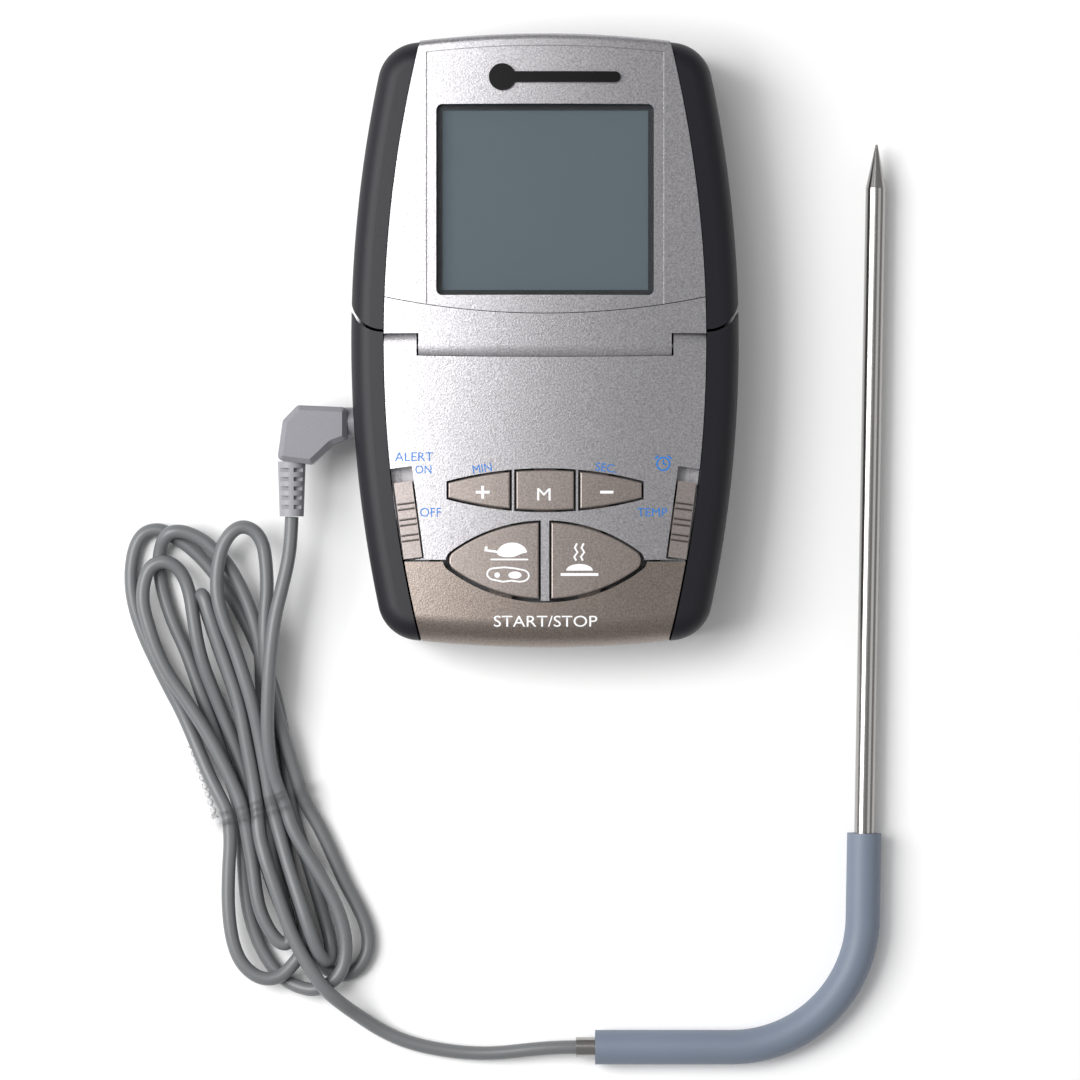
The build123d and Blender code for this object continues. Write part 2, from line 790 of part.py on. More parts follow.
def slider(side):
    """A slide switch's grip, with its ridges, and the lever that works the switch below."""
    with BuildPart() as grooves:
        with BuildSketch(slider_plane(side, slider_foot)):
            for row in (-1, 0, 1):
                with Locations((0, (row - 0.15) * groove_spacing + groove_width),
                               (0, (row - 0.15) * groove_spacing - groove_width)):
                    Rectangle(2 * slider_width, groove_width)
        extrude(amount=crest)
        add(crown_form(slider_proud - groove_depth), mode=Mode.SUBTRACT)
    with BuildPart() as made:
        with BuildSketch(slider_plane(side, slider_foot)):
            Rectangle(slider_width, slider_length)
        extrude(amount=crest)
        add(slider_face, mode=Mode.INTERSECT)
        add(grooves.part, mode=Mode.SUBTRACT)
        with BuildSketch(slider_plane(side, slider_foot)):
            with Locations((-side * switch_inset / 2, 0)):
                Rectangle(switch_inset + 2 * lever_radius, slider_length / 3)
        extrude(amount=slider_heel)
        with BuildSketch(slider_plane(side, main_board_top + switch_height - lever_depth)):
            with Locations((-side * switch_inset, 0)):
                Circle(lever_radius)
        extrude(amount=slider_foot - main_board_top - switch_height + lever_depth)
    return made.part


alert_slider = slider(-1)
mode_slider = mirror(alert_slider, about=Plane.YZ)


def slide_switch(side):
    """The small switch on the board under a slider, with the slot its lever runs in."""
    with BuildPart() as made:
        with BuildSketch(slider_plane(side, main_board_top)):
            with Locations((-side * switch_inset, slider_travel / 2)):
                Rectangle(switch_width, switch_length)
        extrude(amount=switch_height)
        with BuildSketch(slider_plane(side, main_board_top + switch_height - lever_depth - lever_room)):
            with Locations((-side * switch_inset, slider_travel / 2)):
                Rectangle(2 * lever_radius + 2 * lever_room,
                          slider_travel + 2 * lever_radius + 2 * lever_room)
        extrude(amount=switch_height, mode=Mode.SUBTRACT)
    return made.part


battery_rows = (battery_y - battery_pitch / 2, battery_y + battery_pitch / 2)
battery_z = wall + battery_lift + battery_radius
batteries = []
for row in battery_rows:
    with BuildPart() as battery:
        add(rod((-battery_length / 2, row, battery_z), (1, 0, 0), battery_radius,
                battery_length - 1))
        add(rod((battery_length / 2 - 1, row, battery_z), (1, 0, 0), 1.9, 1))
    batteries.append(battery.part)

contact_x = battery_length / 2
with BuildPart() as battery_springs:
    for row in battery_rows:
        add(rod((-contact_x - contact_thick, row, battery_z), (1, 0, 0), 3.2, contact_thick))
with BuildPart() as battery_plates:
    for row in battery_rows:
        add(block((contact_x, contact_x + contact_thick), (row - 4, row + 4),
                  (wall + 1, wall + 9)))

socket_inner = half_width - grip_width - seam - wall - 1.3
with BuildPart() as jack_socket:
    add(block((-socket_inner, 6 - socket_inner), (jack_y - 3.8, jack_y + 3.8),
              (jack_z - 3.4, main_board_top - board_thick)))
    add(block((-socket_inner, 11 - socket_inner), (jack_y - 3, jack_y + 3),
              (jack_z - 2.6, main_board_top - board_thick)))
    add(rod((-far, jack_y, jack_z), (1, 0, 0), jack_radius + running, 2 * far),
        mode=Mode.SUBTRACT)

with BuildPart() as hinge_pins:
    for side in (-1, 1):
        low, high = sorted((side * pin_inner, side * pin_outer))
        add(rod((low, hinge_y, hinge_z), (1, 0, 0), pin_radius, high - low))

ribbon_half = 6
ribbon_thick = 0.3
trough_back_y = hinge_y - (crest - hinge_z) - swing_gap - wall - 0.6
ribbon_low = 4.5
with BuildPart() as ribbon_base:
    add(block((-ribbon_half, ribbon_half), (trough_back_y - ribbon_thick, trough_back_y),
              (ribbon_low, main_board_top - board_thick)))
    add(block((-ribbon_half, ribbon_half), (trough_back_y, hinge_y - leaf_gap - wall),
              (ribbon_low, ribbon_low + ribbon_thick)))
with BuildPart() as ribbon_head:
    add(block((-ribbon_half, ribbon_half), (board_span[0] + 1, board_span[0] + 1 + ribbon_thick),
              (ribbon_low, display_board_top - board_thick)))
    add(block((-ribbon_half, ribbon_half), (leaf_y + wall, board_span[0] + 1),
              (ribbon_low, ribbon_low + ribbon_thick)))

# ---------------------------------------------------------------- probe lead
plug_outline = [(-44.9, -11.4), (-35.9, -11.8), (-35.9, -17.6), (-38.6, -18.6),
                (-42.4, -22.2), (-48.6, -21.4), (-47.6, -14.2)]
with BuildPart() as plug_body:
    with BuildSketch(Plane.XY.offset(jack_z - plug_thick / 2)) as plug_plan:
        with BuildLine():
            Polyline(*plug_outline, close=True)
        make_face()
        fillet(plug_plan.vertices(), plug_round)
    extrude(amount=plug_thick)
    chamfer(plug_body.faces().sort_by(Axis.Z)[-1].edges(), plug_chamfer)
    chamfer(plug_body.faces().sort_by(Axis.Z)[0].edges(), plug_chamfer)
    add(rod((-36.5, jack_y, jack_z), (1, 0, 0), collar_radius, 2.6))
with BuildPart() as plug_contacts:
    add(rod((-33.9, jack_y, jack_z), (1, 0, 0), jack_radius, jack_length - 1.5))
    with BuildSketch(Plane((-33.9 + jack_length - 1.5, jack_y, jack_z), z_dir=(1, 0, 0))):
        Circle(jack_radius)
    extrude(amount=1.5, taper=30)

relief_top_y = -21.6
relief_run = relief_top_y - relief_low_y
relief_rows = 5
with BuildPart() as strain_relief:
    with BuildSketch(Plane((relief_x, relief_top_y, jack_z), z_dir=(0, -1, 0))):
        Circle(relief_top / 2)
    with BuildSketch(Plane((relief_x, relief_low_y, jack_z), z_dir=(0, -1, 0))):
        Circle(relief_bottom / 2)
    loft()
    for row in range(relief_rows):
        row_at = relief_top_y - 1.2 - row * (relief_run - 1.6) / relief_rows
        for side in (-1, 1):
            for face in (-1, 1):
                add(block(sorted((relief_x + side * 0.45, relief_x + side * 3)),
                          (row_at - 0.75, row_at),
                          sorted((jack_z + face * 1.35, jack_z + face * 4))), mode=Mode.SUBTRACT)
plug_cut = strain_relief.part
with BuildPart() as plug_trim:
    add(plug_body.part)
    add(plug_cut, mode=Mode.SUBTRACT)

floor_lift = cord_diameter / 2 + 0.02
probe_z = sleeve_radius + 0.05
tail_route = [(relief_x, relief_low_y, jack_z), (relief_x, -36.4, jack_z), (-47.1, -42.3, 7.3),
              (-48.5, -48.0, 5.2)]
lead_route = [(-39.0, -118.9, 2.6), (-34.9, -122.5, 1.8), (-30.3, -125.8, floor_lift),
              (-24.8, -128.3, floor_lift), (-17.0, -129.9, floor_lift), (-9.2, -129.9, 1.8),
              (-1.6, -128.8, probe_z), (probe_inner_x, probe_corner[1], probe_z)]


def cord_radii(route):
    """Bend radius at each inner point of a route: 0.45 of the shorter run, over the half-turn's tangent."""
    radii = []
    for before, here, after in zip(route, route[1:], route[2:]):
        arriving = Vector(*here) - Vector(*before)
        leaving = Vector(*after) - Vector(*here)
        turn = radians(arriving.get_angle(leaving))
        radii.append(0.45 * min(arriving.length, leaving.length) / tan(turn / 2))
    return radii


def cord_tube(route):
    """A plain round cord along a route of straight runs joined by tangent arcs."""
    radii = cord_radii(route)
    with BuildPart() as made:
        with BuildLine() as path:
            FilletPolyline(*route, radius=radii)
        with BuildSketch(Plane(route[0], z_dir=path.line % 0)):
            Circle(cord_diameter / 2)
        sweep()
    print("cord: radii", [round(value, 1) for value in radii], "length", round(path.wires()[0].length, 1),
          "volume over section", round(made.part.volume / (pi * cord_diameter ** 2 / 4), 1))
    return made.part


with BuildPart() as cord_tail:
    add(cord_tube(tail_route))
with BuildPart() as cord_lead:
    add(cord_tube(lead_route))

# Outer shape of the tied hank: loose loops above and below a narrow waist
hank_outline = [(-76.7, -42.0), (-75.4, -35.2), (-71.0, -32.6), (-64.0, -33.0), (-56.0, -31.9),
                (-52.6, -33.4), (-50.7, -38.6), (-50.4, -44.0), (-50.4, -47.7), (-46.6, -47.7),
                (-47.8, -60.0), (-47.8, -69.0), (-44.6, -82.4), (-36.7, -96.5), (-31.8, -105.7),
                (-31.0, -111.0), (-33.6, -116.0), (-37.6, -117.6), (-40.2, -120.2),
                (-47.8, -118.0), (-53.4, -117.6), (-57.6, -113.2), (-59.4, -104.8),
                (-59.2, -94.7), (-60.0, -86.4), (-63.6, -75.4), (-70.4, -61.0)]
tie_place = (-52.4, -84.4)
tie_lean = 20.3
tie_length = 18.6
tie_band = 2.6
tie_wire = 0.8
hank_height = 6.2
waist_low = 1.0

with BuildPart() as tie_room:
    with BuildSketch():
        with Locations(Location((*tie_place, 0), (0, 0, tie_lean))):
            Rectangle(2 * tie_length, tie_band + 0.4)
    extrude(amount=crest)
with BuildPart() as cord_hank:
    with BuildSketch():
        with BuildLine():
            Polyline(*hank_outline, close=True)
        make_face()
    extrude(amount=hank_height)
    add(tie_room.part, mode=Mode.SUBTRACT)
    with BuildSketch(Plane.XY.offset(waist_low)):
        with Locations(Location((*tie_place, 0), (0, 0, tie_lean))):
            Rectangle(tie_length - 2 * tie_wire - 0.4, tie_band + 2)
    extrude(amount=hank_height - waist_low)

twist_start = (-61.6, -87.0, 1.5)
twist_way = (-0.43, 0.90, 0)
twist_radius = 1.2
twist_length = 12
with BuildPart() as cord_tie:
    with BuildSketch(Plane.XY.offset(tie_lift)):
        with Locations(Location((*tie_place, 0), (0, 0, tie_lean))):
            Rectangle(tie_length, tie_band)
    extrude(amount=hank_height + tie_wire)
    with BuildSketch(Plane.XY.offset(tie_lift + tie_wire)):
        with Locations(Location((*tie_place, 0), (0, 0, tie_lean))):
            Rectangle(tie_length - 2 * tie_wire, 2 * tie_band)
    extrude(amount=hank_height - tie_wire, mode=Mode.SUBTRACT)
    add(rod(twist_start, twist_way, twist_radius, twist_length))


def probe_path(start_x, end_y):
    """The bent centre line of the probe, from its lead end to a height in Y along its shaft."""
    lean = (probe_tip_point[0] - probe_corner[0]) / (probe_tip_point[1] - probe_corner[1])
    with BuildLine() as path:
        FilletPolyline((start_x, probe_corner[1], probe_z), (*probe_corner, probe_z),
                       (probe_corner[0] + lean * (end_y - probe_corner[1]), end_y, probe_z),
                       radius=probe_bend_radius)
    return path.line


tube_bore = 1.45
tube_end_y = probe_tip_point[1] - tip_length
shaft_lean = Vector(probe_tip_point[0] - probe_corner[0], probe_tip_point[1] - probe_corner[1], 0)
shaft_way = shaft_lean.normalized()
tube_path = probe_path(probe_inner_x, tube_end_y)
sleeve_path = probe_path(sleeve_end_x, sleeve_top_y)
with BuildPart() as probe_tube:
    with BuildSketch(Plane(tube_path @ 0, z_dir=tube_path % 0)):
        Circle(tube_radius)
        Circle(tube_bore, mode=Mode.SUBTRACT)
    sweep(path=tube_path)
with BuildPart() as probe_sleeve:
    with BuildSketch(Plane(sleeve_path @ 0, z_dir=sleeve_path % 0)):
        Circle(sleeve_radius)
        Circle(tube_radius + running, mode=Mode.SUBTRACT)
    sweep(path=sleeve_path)
tip_base = tube_path @ 1
with BuildPart() as probe_tip:
    with BuildSketch(Plane(tip_base, z_dir=shaft_way)):
        Circle(tube_radius)
    with BuildSketch(Plane(tip_base + shaft_way * tip_length, z_dir=shaft_way)):
        Circle(0.2)
    loft()
    add(rod(tip_base - shaft_way * 4, shaft_way, tube_bore - running, 4))
with BuildPart() as thermistor:
    add(rod(tip_base - shaft_way * 9, shaft_way, 0.9, 4))
with BuildPart() as crimp_ferrule:
    with BuildSketch(Plane(tube_path @ 0, z_dir=(1, 0, 0))):
        Circle(tube_bore)
    extrude(amount=6)

pieces = {
    "display_bezel": display_bezel.part, "hinge_cover": hinge_cover.part,
    "display_rear_cover": display_rear_cover.part, "display_grip_left": display_grip_left.part,
    "display_grip_right": display_grip_right.part, "window_lens": window_lens.part,
    "lcd_cell": lcd_cell.part, "lcd_frame": lcd_frame.part, "zebra_strips": zebra_strips.part,
    "display_board": display_board.part, "front_badge": front_badge.part,
    "buzzer": buzzer.part, "display_screws": case_screw["display"],
    "ribbon_head": ribbon_head.part, "base_front_cover": base_front_cover.part,
    "base_rear_cover": base_rear_cover.part, "base_grip_left": base_grip_left.part,
    "base_grip_right": base_grip_right.part, "main_board": main_board.part,
    "keypad_mat": keypad_mat.part, "battery_upper": batteries[1], "battery_lower": batteries[0],
    "battery_springs": battery_springs.part, "battery_plates": battery_plates.part,
    "jack_socket": jack_socket.part, "alert_switch": slide_switch(-1),
    "mode_switch": slide_switch(1), "hinge_pins": hinge_pins.part,
    "base_screws": case_screw["base"], "ribbon_base": ribbon_base.part,
    "alert_slider": alert_slider, "mode_slider": mode_slider, "start_stop_key": start_stop_key.part,
    "battery_door": battery_door.part, "plug_body": plug_trim.part,
    "plug_contacts": plug_contacts.part, "strain_relief": strain_relief.part,
    "cord_tail": cord_tail.part, "cord_hank": cord_hank.part, "cord_lead": cord_lead.part,
    "cord_tie": cord_tie.part, "probe_tube": probe_tube.part, "probe_tip": probe_tip.part,
    "probe_sleeve": probe_sleeve.part, "thermistor": thermistor.part,
    "crimp_ferrule": crimp_ferrule.part,
}
for name, made in keys.items():
    pieces[name + "_key"] = made

os.makedirs("parts", exist_ok=True)
for name, piece in pieces.items():
    piece.label = name
    export_step(piece, "parts/" + name + ".step")
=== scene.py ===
"""Looks of a folding kitchen probe thermometer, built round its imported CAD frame."""

import json
import logging
import math
from dataclasses import dataclass, field
from enum import Enum

import bmesh
import bpy
from mathutils import Matrix, Vector
from mathutils.bvhtree import BVHTree

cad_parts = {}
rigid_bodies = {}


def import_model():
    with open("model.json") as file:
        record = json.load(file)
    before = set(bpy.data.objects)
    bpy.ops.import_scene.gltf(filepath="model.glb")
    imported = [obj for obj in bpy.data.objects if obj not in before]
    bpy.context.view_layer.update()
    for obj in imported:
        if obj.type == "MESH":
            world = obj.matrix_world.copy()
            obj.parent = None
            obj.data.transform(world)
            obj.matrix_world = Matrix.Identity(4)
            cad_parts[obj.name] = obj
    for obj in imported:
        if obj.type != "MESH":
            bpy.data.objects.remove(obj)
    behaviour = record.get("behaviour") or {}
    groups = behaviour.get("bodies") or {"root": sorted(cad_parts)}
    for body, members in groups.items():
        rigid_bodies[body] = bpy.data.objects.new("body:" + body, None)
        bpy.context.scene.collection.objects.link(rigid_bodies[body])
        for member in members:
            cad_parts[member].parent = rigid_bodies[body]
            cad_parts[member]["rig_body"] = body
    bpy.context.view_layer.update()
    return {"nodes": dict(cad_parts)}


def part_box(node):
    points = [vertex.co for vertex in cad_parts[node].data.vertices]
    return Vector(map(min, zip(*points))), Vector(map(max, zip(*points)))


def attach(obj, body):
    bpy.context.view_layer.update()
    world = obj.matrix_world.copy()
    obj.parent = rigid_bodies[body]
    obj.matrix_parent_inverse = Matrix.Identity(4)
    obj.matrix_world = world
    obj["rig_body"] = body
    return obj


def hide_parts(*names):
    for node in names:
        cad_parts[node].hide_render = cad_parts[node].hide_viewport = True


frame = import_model()

MM = 0.001
COAT_ROUGHNESS = 0.12
GRAIN_DEPTH = 0.0002  # metres, the relief of paint grain
CLOUD_SCALE = 70.0  # broad unevenness, in turns per metre
LOG = logging.getLogger("thermometer")

Colour = tuple[float, float, float]
Point = tuple[float, float, float]


def tone(red: int, green: int, blue: int) -> Colour:
    """Turn a display colour (0 to 255) into linear light."""
    parts = [value / 255 for value in (red, green, blue)]
    return tuple(v / 12.92 if v <= 0.04045 else ((v + 0.055) / 1.055) ** 2.4 for v in parts)


def put(x: float, y: float, z: float) -> Vector:
    """Give a point in metres from millimetres."""
    return Vector((x * MM, y * MM, z * MM))


class Body(Enum):
    """The moving bodies that pieces ride on."""

    BASE = "base"
    DISPLAY = "display"
    LEAD = "probe_lead"


class Effect:
    """The shared shader node groups, each built once and placed with its own values."""

    made: dict[str, bpy.types.NodeTree] = {}

    @staticmethod
    def start(
        name: str, inputs: dict[str, tuple[str, object]], outputs: dict[str, str]
    ) -> bpy.types.NodeTree:
        """Open a node group with named sockets.

        Args:
            name: the group's name.
            inputs: socket name to (kind, default value).
            outputs: socket name to kind.

        Returns:
            The group, with an input and an output node in it.
        """
        group = bpy.data.node_groups.new(name, "ShaderNodeTree")
        for title, (kind, value) in inputs.items():
            socket = group.interface.new_socket(name=title, in_out="INPUT", socket_type=kind)
            socket.default_value = value
        for title, kind in outputs.items():
            group.interface.new_socket(name=title, in_out="OUTPUT", socket_type=kind)
        group.nodes.new("NodeGroupInput").name = "in"
        group.nodes.new("NodeGroupOutput").name = "out"
        return group

    @classmethod
    def speckle(cls) -> bpy.types.NodeTree:
        """Fine flake or grain: a colour that flickers about its base, and a height."""
        if "speckle" in cls.made:
            return cls.made["speckle"]
        tree = cls.start(
            "speckle",
            {
                "Colour": ("NodeSocketColor", (0.5, 0.5, 0.5, 1.0)),
                "Size": ("NodeSocketFloat", 4000.0),
                "Flicker": ("NodeSocketFloat", 0.15),
                "Cloud": ("NodeSocketFloat", 0.05),
            },
            {"Colour": "NodeSocketColor", "Height": "NodeSocketFloat"},
        )
        nodes, links = tree.nodes, tree.links
        place = nodes.new("ShaderNodeTexCoord")
        fine = nodes.new("ShaderNodeTexNoise")
        fine.inputs["Detail"].default_value = 2.0
        broad = nodes.new("ShaderNodeTexNoise")
        broad.inputs["Scale"].default_value = CLOUD_SCALE
        for texture in (fine, broad):
            links.new(place.outputs["Object"], texture.inputs["Vector"])
        links.new(nodes["in"].outputs["Size"], fine.inputs["Scale"])
        gain = nodes.new("ShaderNodeMath")
        gain.operation = "MULTIPLY_ADD"
        shift = nodes.new("ShaderNodeMath")
        shift.operation = "SUBTRACT"
        shift.inputs[1].default_value = 0.5
        links.new(fine.outputs["Fac"], shift.inputs[0])
        links.new(shift.outputs[0], gain.inputs[0])
        links.new(nodes["in"].outputs["Flicker"], gain.inputs[1])
        gain.inputs[2].default_value = 1.0
        wide_shift = nodes.new("ShaderNodeMath")
        wide_shift.operation = "SUBTRACT"
        wide_shift.inputs[1].default_value = 0.5
        wide = nodes.new("ShaderNodeMath")
        wide.operation = "MULTIPLY_ADD"
        links.new(broad.outputs["Fac"], wide_shift.inputs[0])
        links.new(wide_shift.outputs[0], wide.inputs[0])
        links.new(nodes["in"].outputs["Cloud"], wide.inputs[1])
        links.new(gain.outputs[0], wide.inputs[2])
        mix = nodes.new("ShaderNodeVectorMath")
        mix.operation = "SCALE"
        links.new(nodes["in"].outputs["Colour"], mix.inputs[0])
        links.new(wide.outputs[0], mix.inputs["Scale"])
        links.new(mix.outputs[0], nodes["out"].inputs["Colour"])
        links.new(fine.outputs["Fac"], nodes["out"].inputs["Height"])
        cls.made["speckle"] = tree
        return tree


@dataclass(frozen=True)
class Finish:
    """One surface finish: its colour, sheen, grain and the record slot it stands for."""

    name: str
    slot: str
    colour: Colour
    roughness: float = 0.45
    metallic: float = 0.0
    grain_size: float = 4000.0
    flicker: float = 0.1
    cloud: float = 0.06
    bump: float = 0.02
    coat: float = 0.0
    specular: float = 0.5
    alpha: float = 1.0

    def material(self) -> bpy.types.Material:
        """Build the material, or fetch it if it is already built."""
        title = "finish_" + self.name
        known = bpy.data.materials.get(title)
        if known:
            return known
        made = bpy.data.materials.new(title)
        made.use_nodes = True
        nodes, links = made.node_tree.nodes, made.node_tree.links
        shader = nodes["Principled BSDF"]
        shader.inputs["Metallic"].default_value = self.metallic
        shader.inputs["Roughness"].default_value = self.roughness
        shader.inputs["Coat Weight"].default_value = self.coat
        shader.inputs["Coat Roughness"].default_value = COAT_ROUGHNESS
        shader.inputs["Specular IOR Level"].default_value = self.specular
        shader.inputs["Alpha"].default_value = self.alpha
        shader.inputs["Base Color"].default_value = (*self.colour, 1.0)
        if self.flicker or self.bump:
            grain = nodes.new("ShaderNodeGroup")
            grain.node_tree = Effect.speckle()
            grain.inputs["Colour"].default_value = (*self.colour, 1.0)
            grain.inputs["Size"].default_value = self.grain_size
            grain.inputs["Flicker"].default_value = self.flicker
            grain.inputs["Cloud"].default_value = self.cloud
            links.new(grain.outputs["Colour"], shader.inputs["Base Color"])
            if self.bump:
                relief = nodes.new("ShaderNodeBump")
                relief.inputs["Strength"].default_value = self.bump
                relief.inputs["Distance"].default_value = GRAIN_DEPTH
                links.new(grain.outputs["Height"], relief.inputs["Height"])
                links.new(relief.outputs["Normal"], shader.inputs["Normal"])
        return made


SILVER = Finish(
    "silver_paint", "silver_moulding", tone(172, 170, 173),
    roughness=0.38, metallic=0.85, grain_size=3200, flicker=1.3, cloud=0.08, bump=0.16, coat=0.05,
)
GRIP = Finish(
    "soft_grip_rubber", "soft_grip", tone(20, 20, 27),
    roughness=0.5, metallic=0.0, grain_size=5000, flicker=0.3, cloud=0.15, bump=0.12, specular=0.35,
)
BRONZE = Finish(
    "bronze_paint", "bronze_keys", tone(140, 129, 122),
    roughness=0.38, metallic=0.8, grain_size=3200, flicker=1.2, cloud=0.08, bump=0.14,
)
KEY = Finish(
    "key_paint", "bronze_keys", tone(150, 140, 135),
    roughness=0.4, metallic=0.75, grain_size=3200, flicker=1.1, cloud=0.08, bump=0.12,
)
SLIDER = Finish(
    "slider_paint", "bronze_keys", tone(150, 141, 138),
    roughness=0.42, metallic=0.6, grain_size=3200, flicker=0.9, cloud=0.06, bump=0.1,
)
SLOT_FLOOR = Finish(
    "slot_floor", "silver_moulding", tone(196, 195, 198),
    roughness=0.5, metallic=0.1, grain_size=3600, flicker=0.2,
)
CHARCOAL = Finish(
    "charcoal_cover", "dark_moulding", tone(38, 38, 42),
    roughness=0.5, metallic=0.0, grain_size=5000, flicker=0.3, cloud=0.1, bump=0.12,
)
BLACK = Finish(
    "black_moulding", "black_moulding", tone(16, 16, 18),
    roughness=0.35, metallic=0.0, grain_size=5000, flicker=0.2, cloud=0.1, bump=0.05, coat=0.2,
)
RUBBER = Finish(
    "relief_rubber", "black_rubber", tone(152, 152, 157),
    roughness=0.5, metallic=0.0, grain_size=5000, flicker=0.25, cloud=0.1, bump=0.1,
)
BADGE = Finish(
    "badge_ink", "black_rubber", tone(5, 5, 6),
    roughness=0.55, metallic=0.0, grain_size=5000, flicker=0.1, cloud=0.05, bump=0.02, specular=0.2,
)
PLUG = Finish(
    "plug_plastic", "plug_grey", tone(140, 139, 145),
    roughness=0.38, metallic=0.1, grain_size=4500, flicker=0.25, cloud=0.1, bump=0.06, coat=0.1,
)
CORD = Finish(
    "cord_jacket", "cord_jacket", tone(110, 112, 114),
    roughness=0.42, metallic=0.0, grain_size=6000, flicker=0.25, cloud=0.15, bump=0.08, coat=0.1,
)
SLEEVE = Finish(
    "sleeve_silicone", "sleeve_silicone", tone(116, 126, 142),
    roughness=0.5, metallic=0.0, grain_size=6000, flicker=0.3, cloud=0.15, bump=0.1,
)
STEEL = Finish(
    "probe_steel", "probe_steel", tone(172, 170, 168),
    roughness=0.2, metallic=1.0, grain_size=2500, flicker=0.12, cloud=0.05, bump=0.02,
)
STEEL_PARTS = Finish(
    "steel_parts", "steel_parts", tone(185, 185, 188),
    roughness=0.3, metallic=1.0, grain_size=3000, flicker=0.2, cloud=0.1, bump=0.02,
)
BRASS = Finish(
    "brass_parts", "brass_parts", tone(206, 172, 98),
    roughness=0.28, metallic=1.0, grain_size=3000, flicker=0.2, cloud=0.1, bump=0.02,
)
BOARD = Finish(
    "circuit_board", "circuit_board", tone(28, 84, 48),
    roughness=0.4, metallic=0.0, grain_size=3000, flicker=0.2, cloud=0.2, bump=0.05, coat=0.3,
)
RIBBON = Finish(
    "ribbon_film", "ribbon_film", tone(196, 130, 52),
    roughness=0.35, metallic=0.0, grain_size=3000, flicker=0.2, cloud=0.1, bump=0.02, coat=0.3,
)
BATTERY = Finish(
    "battery_jacket", "battery_jacket", tone(58, 62, 72),
    roughness=0.3, metallic=0.2, grain_size=3000, flicker=0.2, cloud=0.1, bump=0.02, coat=0.4,
)
LCD = Finish(
    "lcd_glass", "lcd_glass", tone(82, 95, 103),
    roughness=0.4, metallic=0.0, grain_size=5000, flicker=0.12, cloud=0.06, bump=0.0,
)
LCD_LINE = Finish(
    "lcd_line", "lcd_glass", tone(66, 76, 84),
    roughness=0.35, metallic=0.0, grain_size=5000, flicker=0.1, cloud=0.05, bump=0.0, coat=0.3,
)
LENS = Finish(
    "clear_window", "clear_window", tone(96, 108, 116),
    roughness=0.06, metallic=0.0, grain_size=5000, flicker=0.0, cloud=0.0, bump=0.0, alpha=0.1,
)
TIE = Finish(
    "clear_tie", "clear_tie", (0.96, 0.96, 0.97),
    roughness=0.1, metallic=0.0, grain_size=3000, flicker=0.05, cloud=0.04, bump=0.0, coat=1.0, alpha=0.85,
)
# Painted shade: the dark tone laid in the slider grooves where shade falls in them.
PAINTED_GROOVE_SHADE = Finish(
    "groove_shade", "bronze_keys", tone(62, 56, 54),
    roughness=0.6, metallic=0.0, grain_size=5000, flicker=0.1, cloud=0.05, bump=0.0,
)
BLUE = Finish(
    "blue_ink", "silver_moulding", tone(40, 118, 200),
    roughness=0.45, metallic=0.0, grain_size=6000, flicker=0.1, cloud=0.05, bump=0.0,
)
WHITE = Finish(
    "white_ink", "bronze_keys", tone(244, 244, 246),
    roughness=0.5, metallic=0.0, grain_size=6000, flicker=0.05, cloud=0.04, bump=0.0,
)
FLOOR = Finish(
    "pale_floor", "silver_moulding", tone(250, 250, 250),
    roughness=0.7, metallic=0.0, grain_size=200, flicker=0.0, cloud=0.0, bump=0.0,
)

NODE_FINISH: dict[str, Finish] = {
    "display_bezel": SILVER,
    "hinge_cover": SILVER,
    "base_front_cover": SILVER,
    "display_rear_cover": CHARCOAL,
    "base_rear_cover": CHARCOAL,
    "battery_door": CHARCOAL,
    "display_grip_left": GRIP,
    "display_grip_right": GRIP,
    "base_grip_left": GRIP,
    "base_grip_right": GRIP,
    "window_lens": LENS,
    "lcd_cell": LCD,
    "lcd_frame": BLACK,
    "zebra_strips": RUBBER,
    "display_board": BOARD,
    "main_board": BOARD,
    "front_badge": BADGE,
    "buzzer": BLACK,
    "display_screws": STEEL_PARTS,
    "base_screws": STEEL_PARTS,
    "ribbon_head": RIBBON,
    "ribbon_base": RIBBON,
    "keypad_mat": RUBBER,
    "battery_upper": BATTERY,
    "battery_lower": BATTERY,
    "battery_springs": STEEL_PARTS,
    "battery_plates": STEEL_PARTS,
    "jack_socket": BLACK,
    "alert_switch": STEEL_PARTS,
    "mode_switch": STEEL_PARTS,
    "hinge_pins": STEEL_PARTS,
    "plug_body": PLUG,
    "plug_contacts": BRASS,
    "strain_relief": RUBBER,
    "cord_tie": TIE,
    "crimp_ferrule": STEEL_PARTS,
    "probe_tube": STEEL,
    "probe_tip": STEEL,
    "probe_sleeve": SLEEVE,
    "thermistor": BRASS,
    "plus_key": KEY,
    "memory_key": KEY,
    "minus_key": KEY,
    "meat_key": KEY,
    "taste_key": KEY,
    "start_stop_key": BRONZE,
    "alert_slider": SLIDER,
    "mode_slider": SLIDER,
}


def finished(
    name: str, shape: bmesh.types.BMesh, finish: Finish, body: str, smooth: bool = True
) -> bpy.types.Object:
    """Turn a bmesh into a piece that rides on a body.

    Args:
        name: the piece's name.
        shape: its mesh, which is freed.
        finish: its surface finish.
        body: the body it moves with.
        smooth: whether its faces shade smooth.

    Returns:
        The new object.
    """
    bmesh.ops.recalc_face_normals(shape, faces=shape.faces)
    for face in shape.faces:
        face.smooth = smooth
    mesh = bpy.data.meshes.new(name)
    shape.to_mesh(mesh)
    shape.free()
    mesh.materials.append(finish.material())
    piece = bpy.data.objects.new(name, mesh)
    bpy.context.scene.collection.objects.link(piece)
    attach(piece, body)
    LOG.info("%s: %d faces on %s", name, len(mesh.polygons), body)
    return piece


def node_body(node: str) -> str:
    """Name the body that a CAD node rides on."""
    return frame["nodes"][node]["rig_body"]


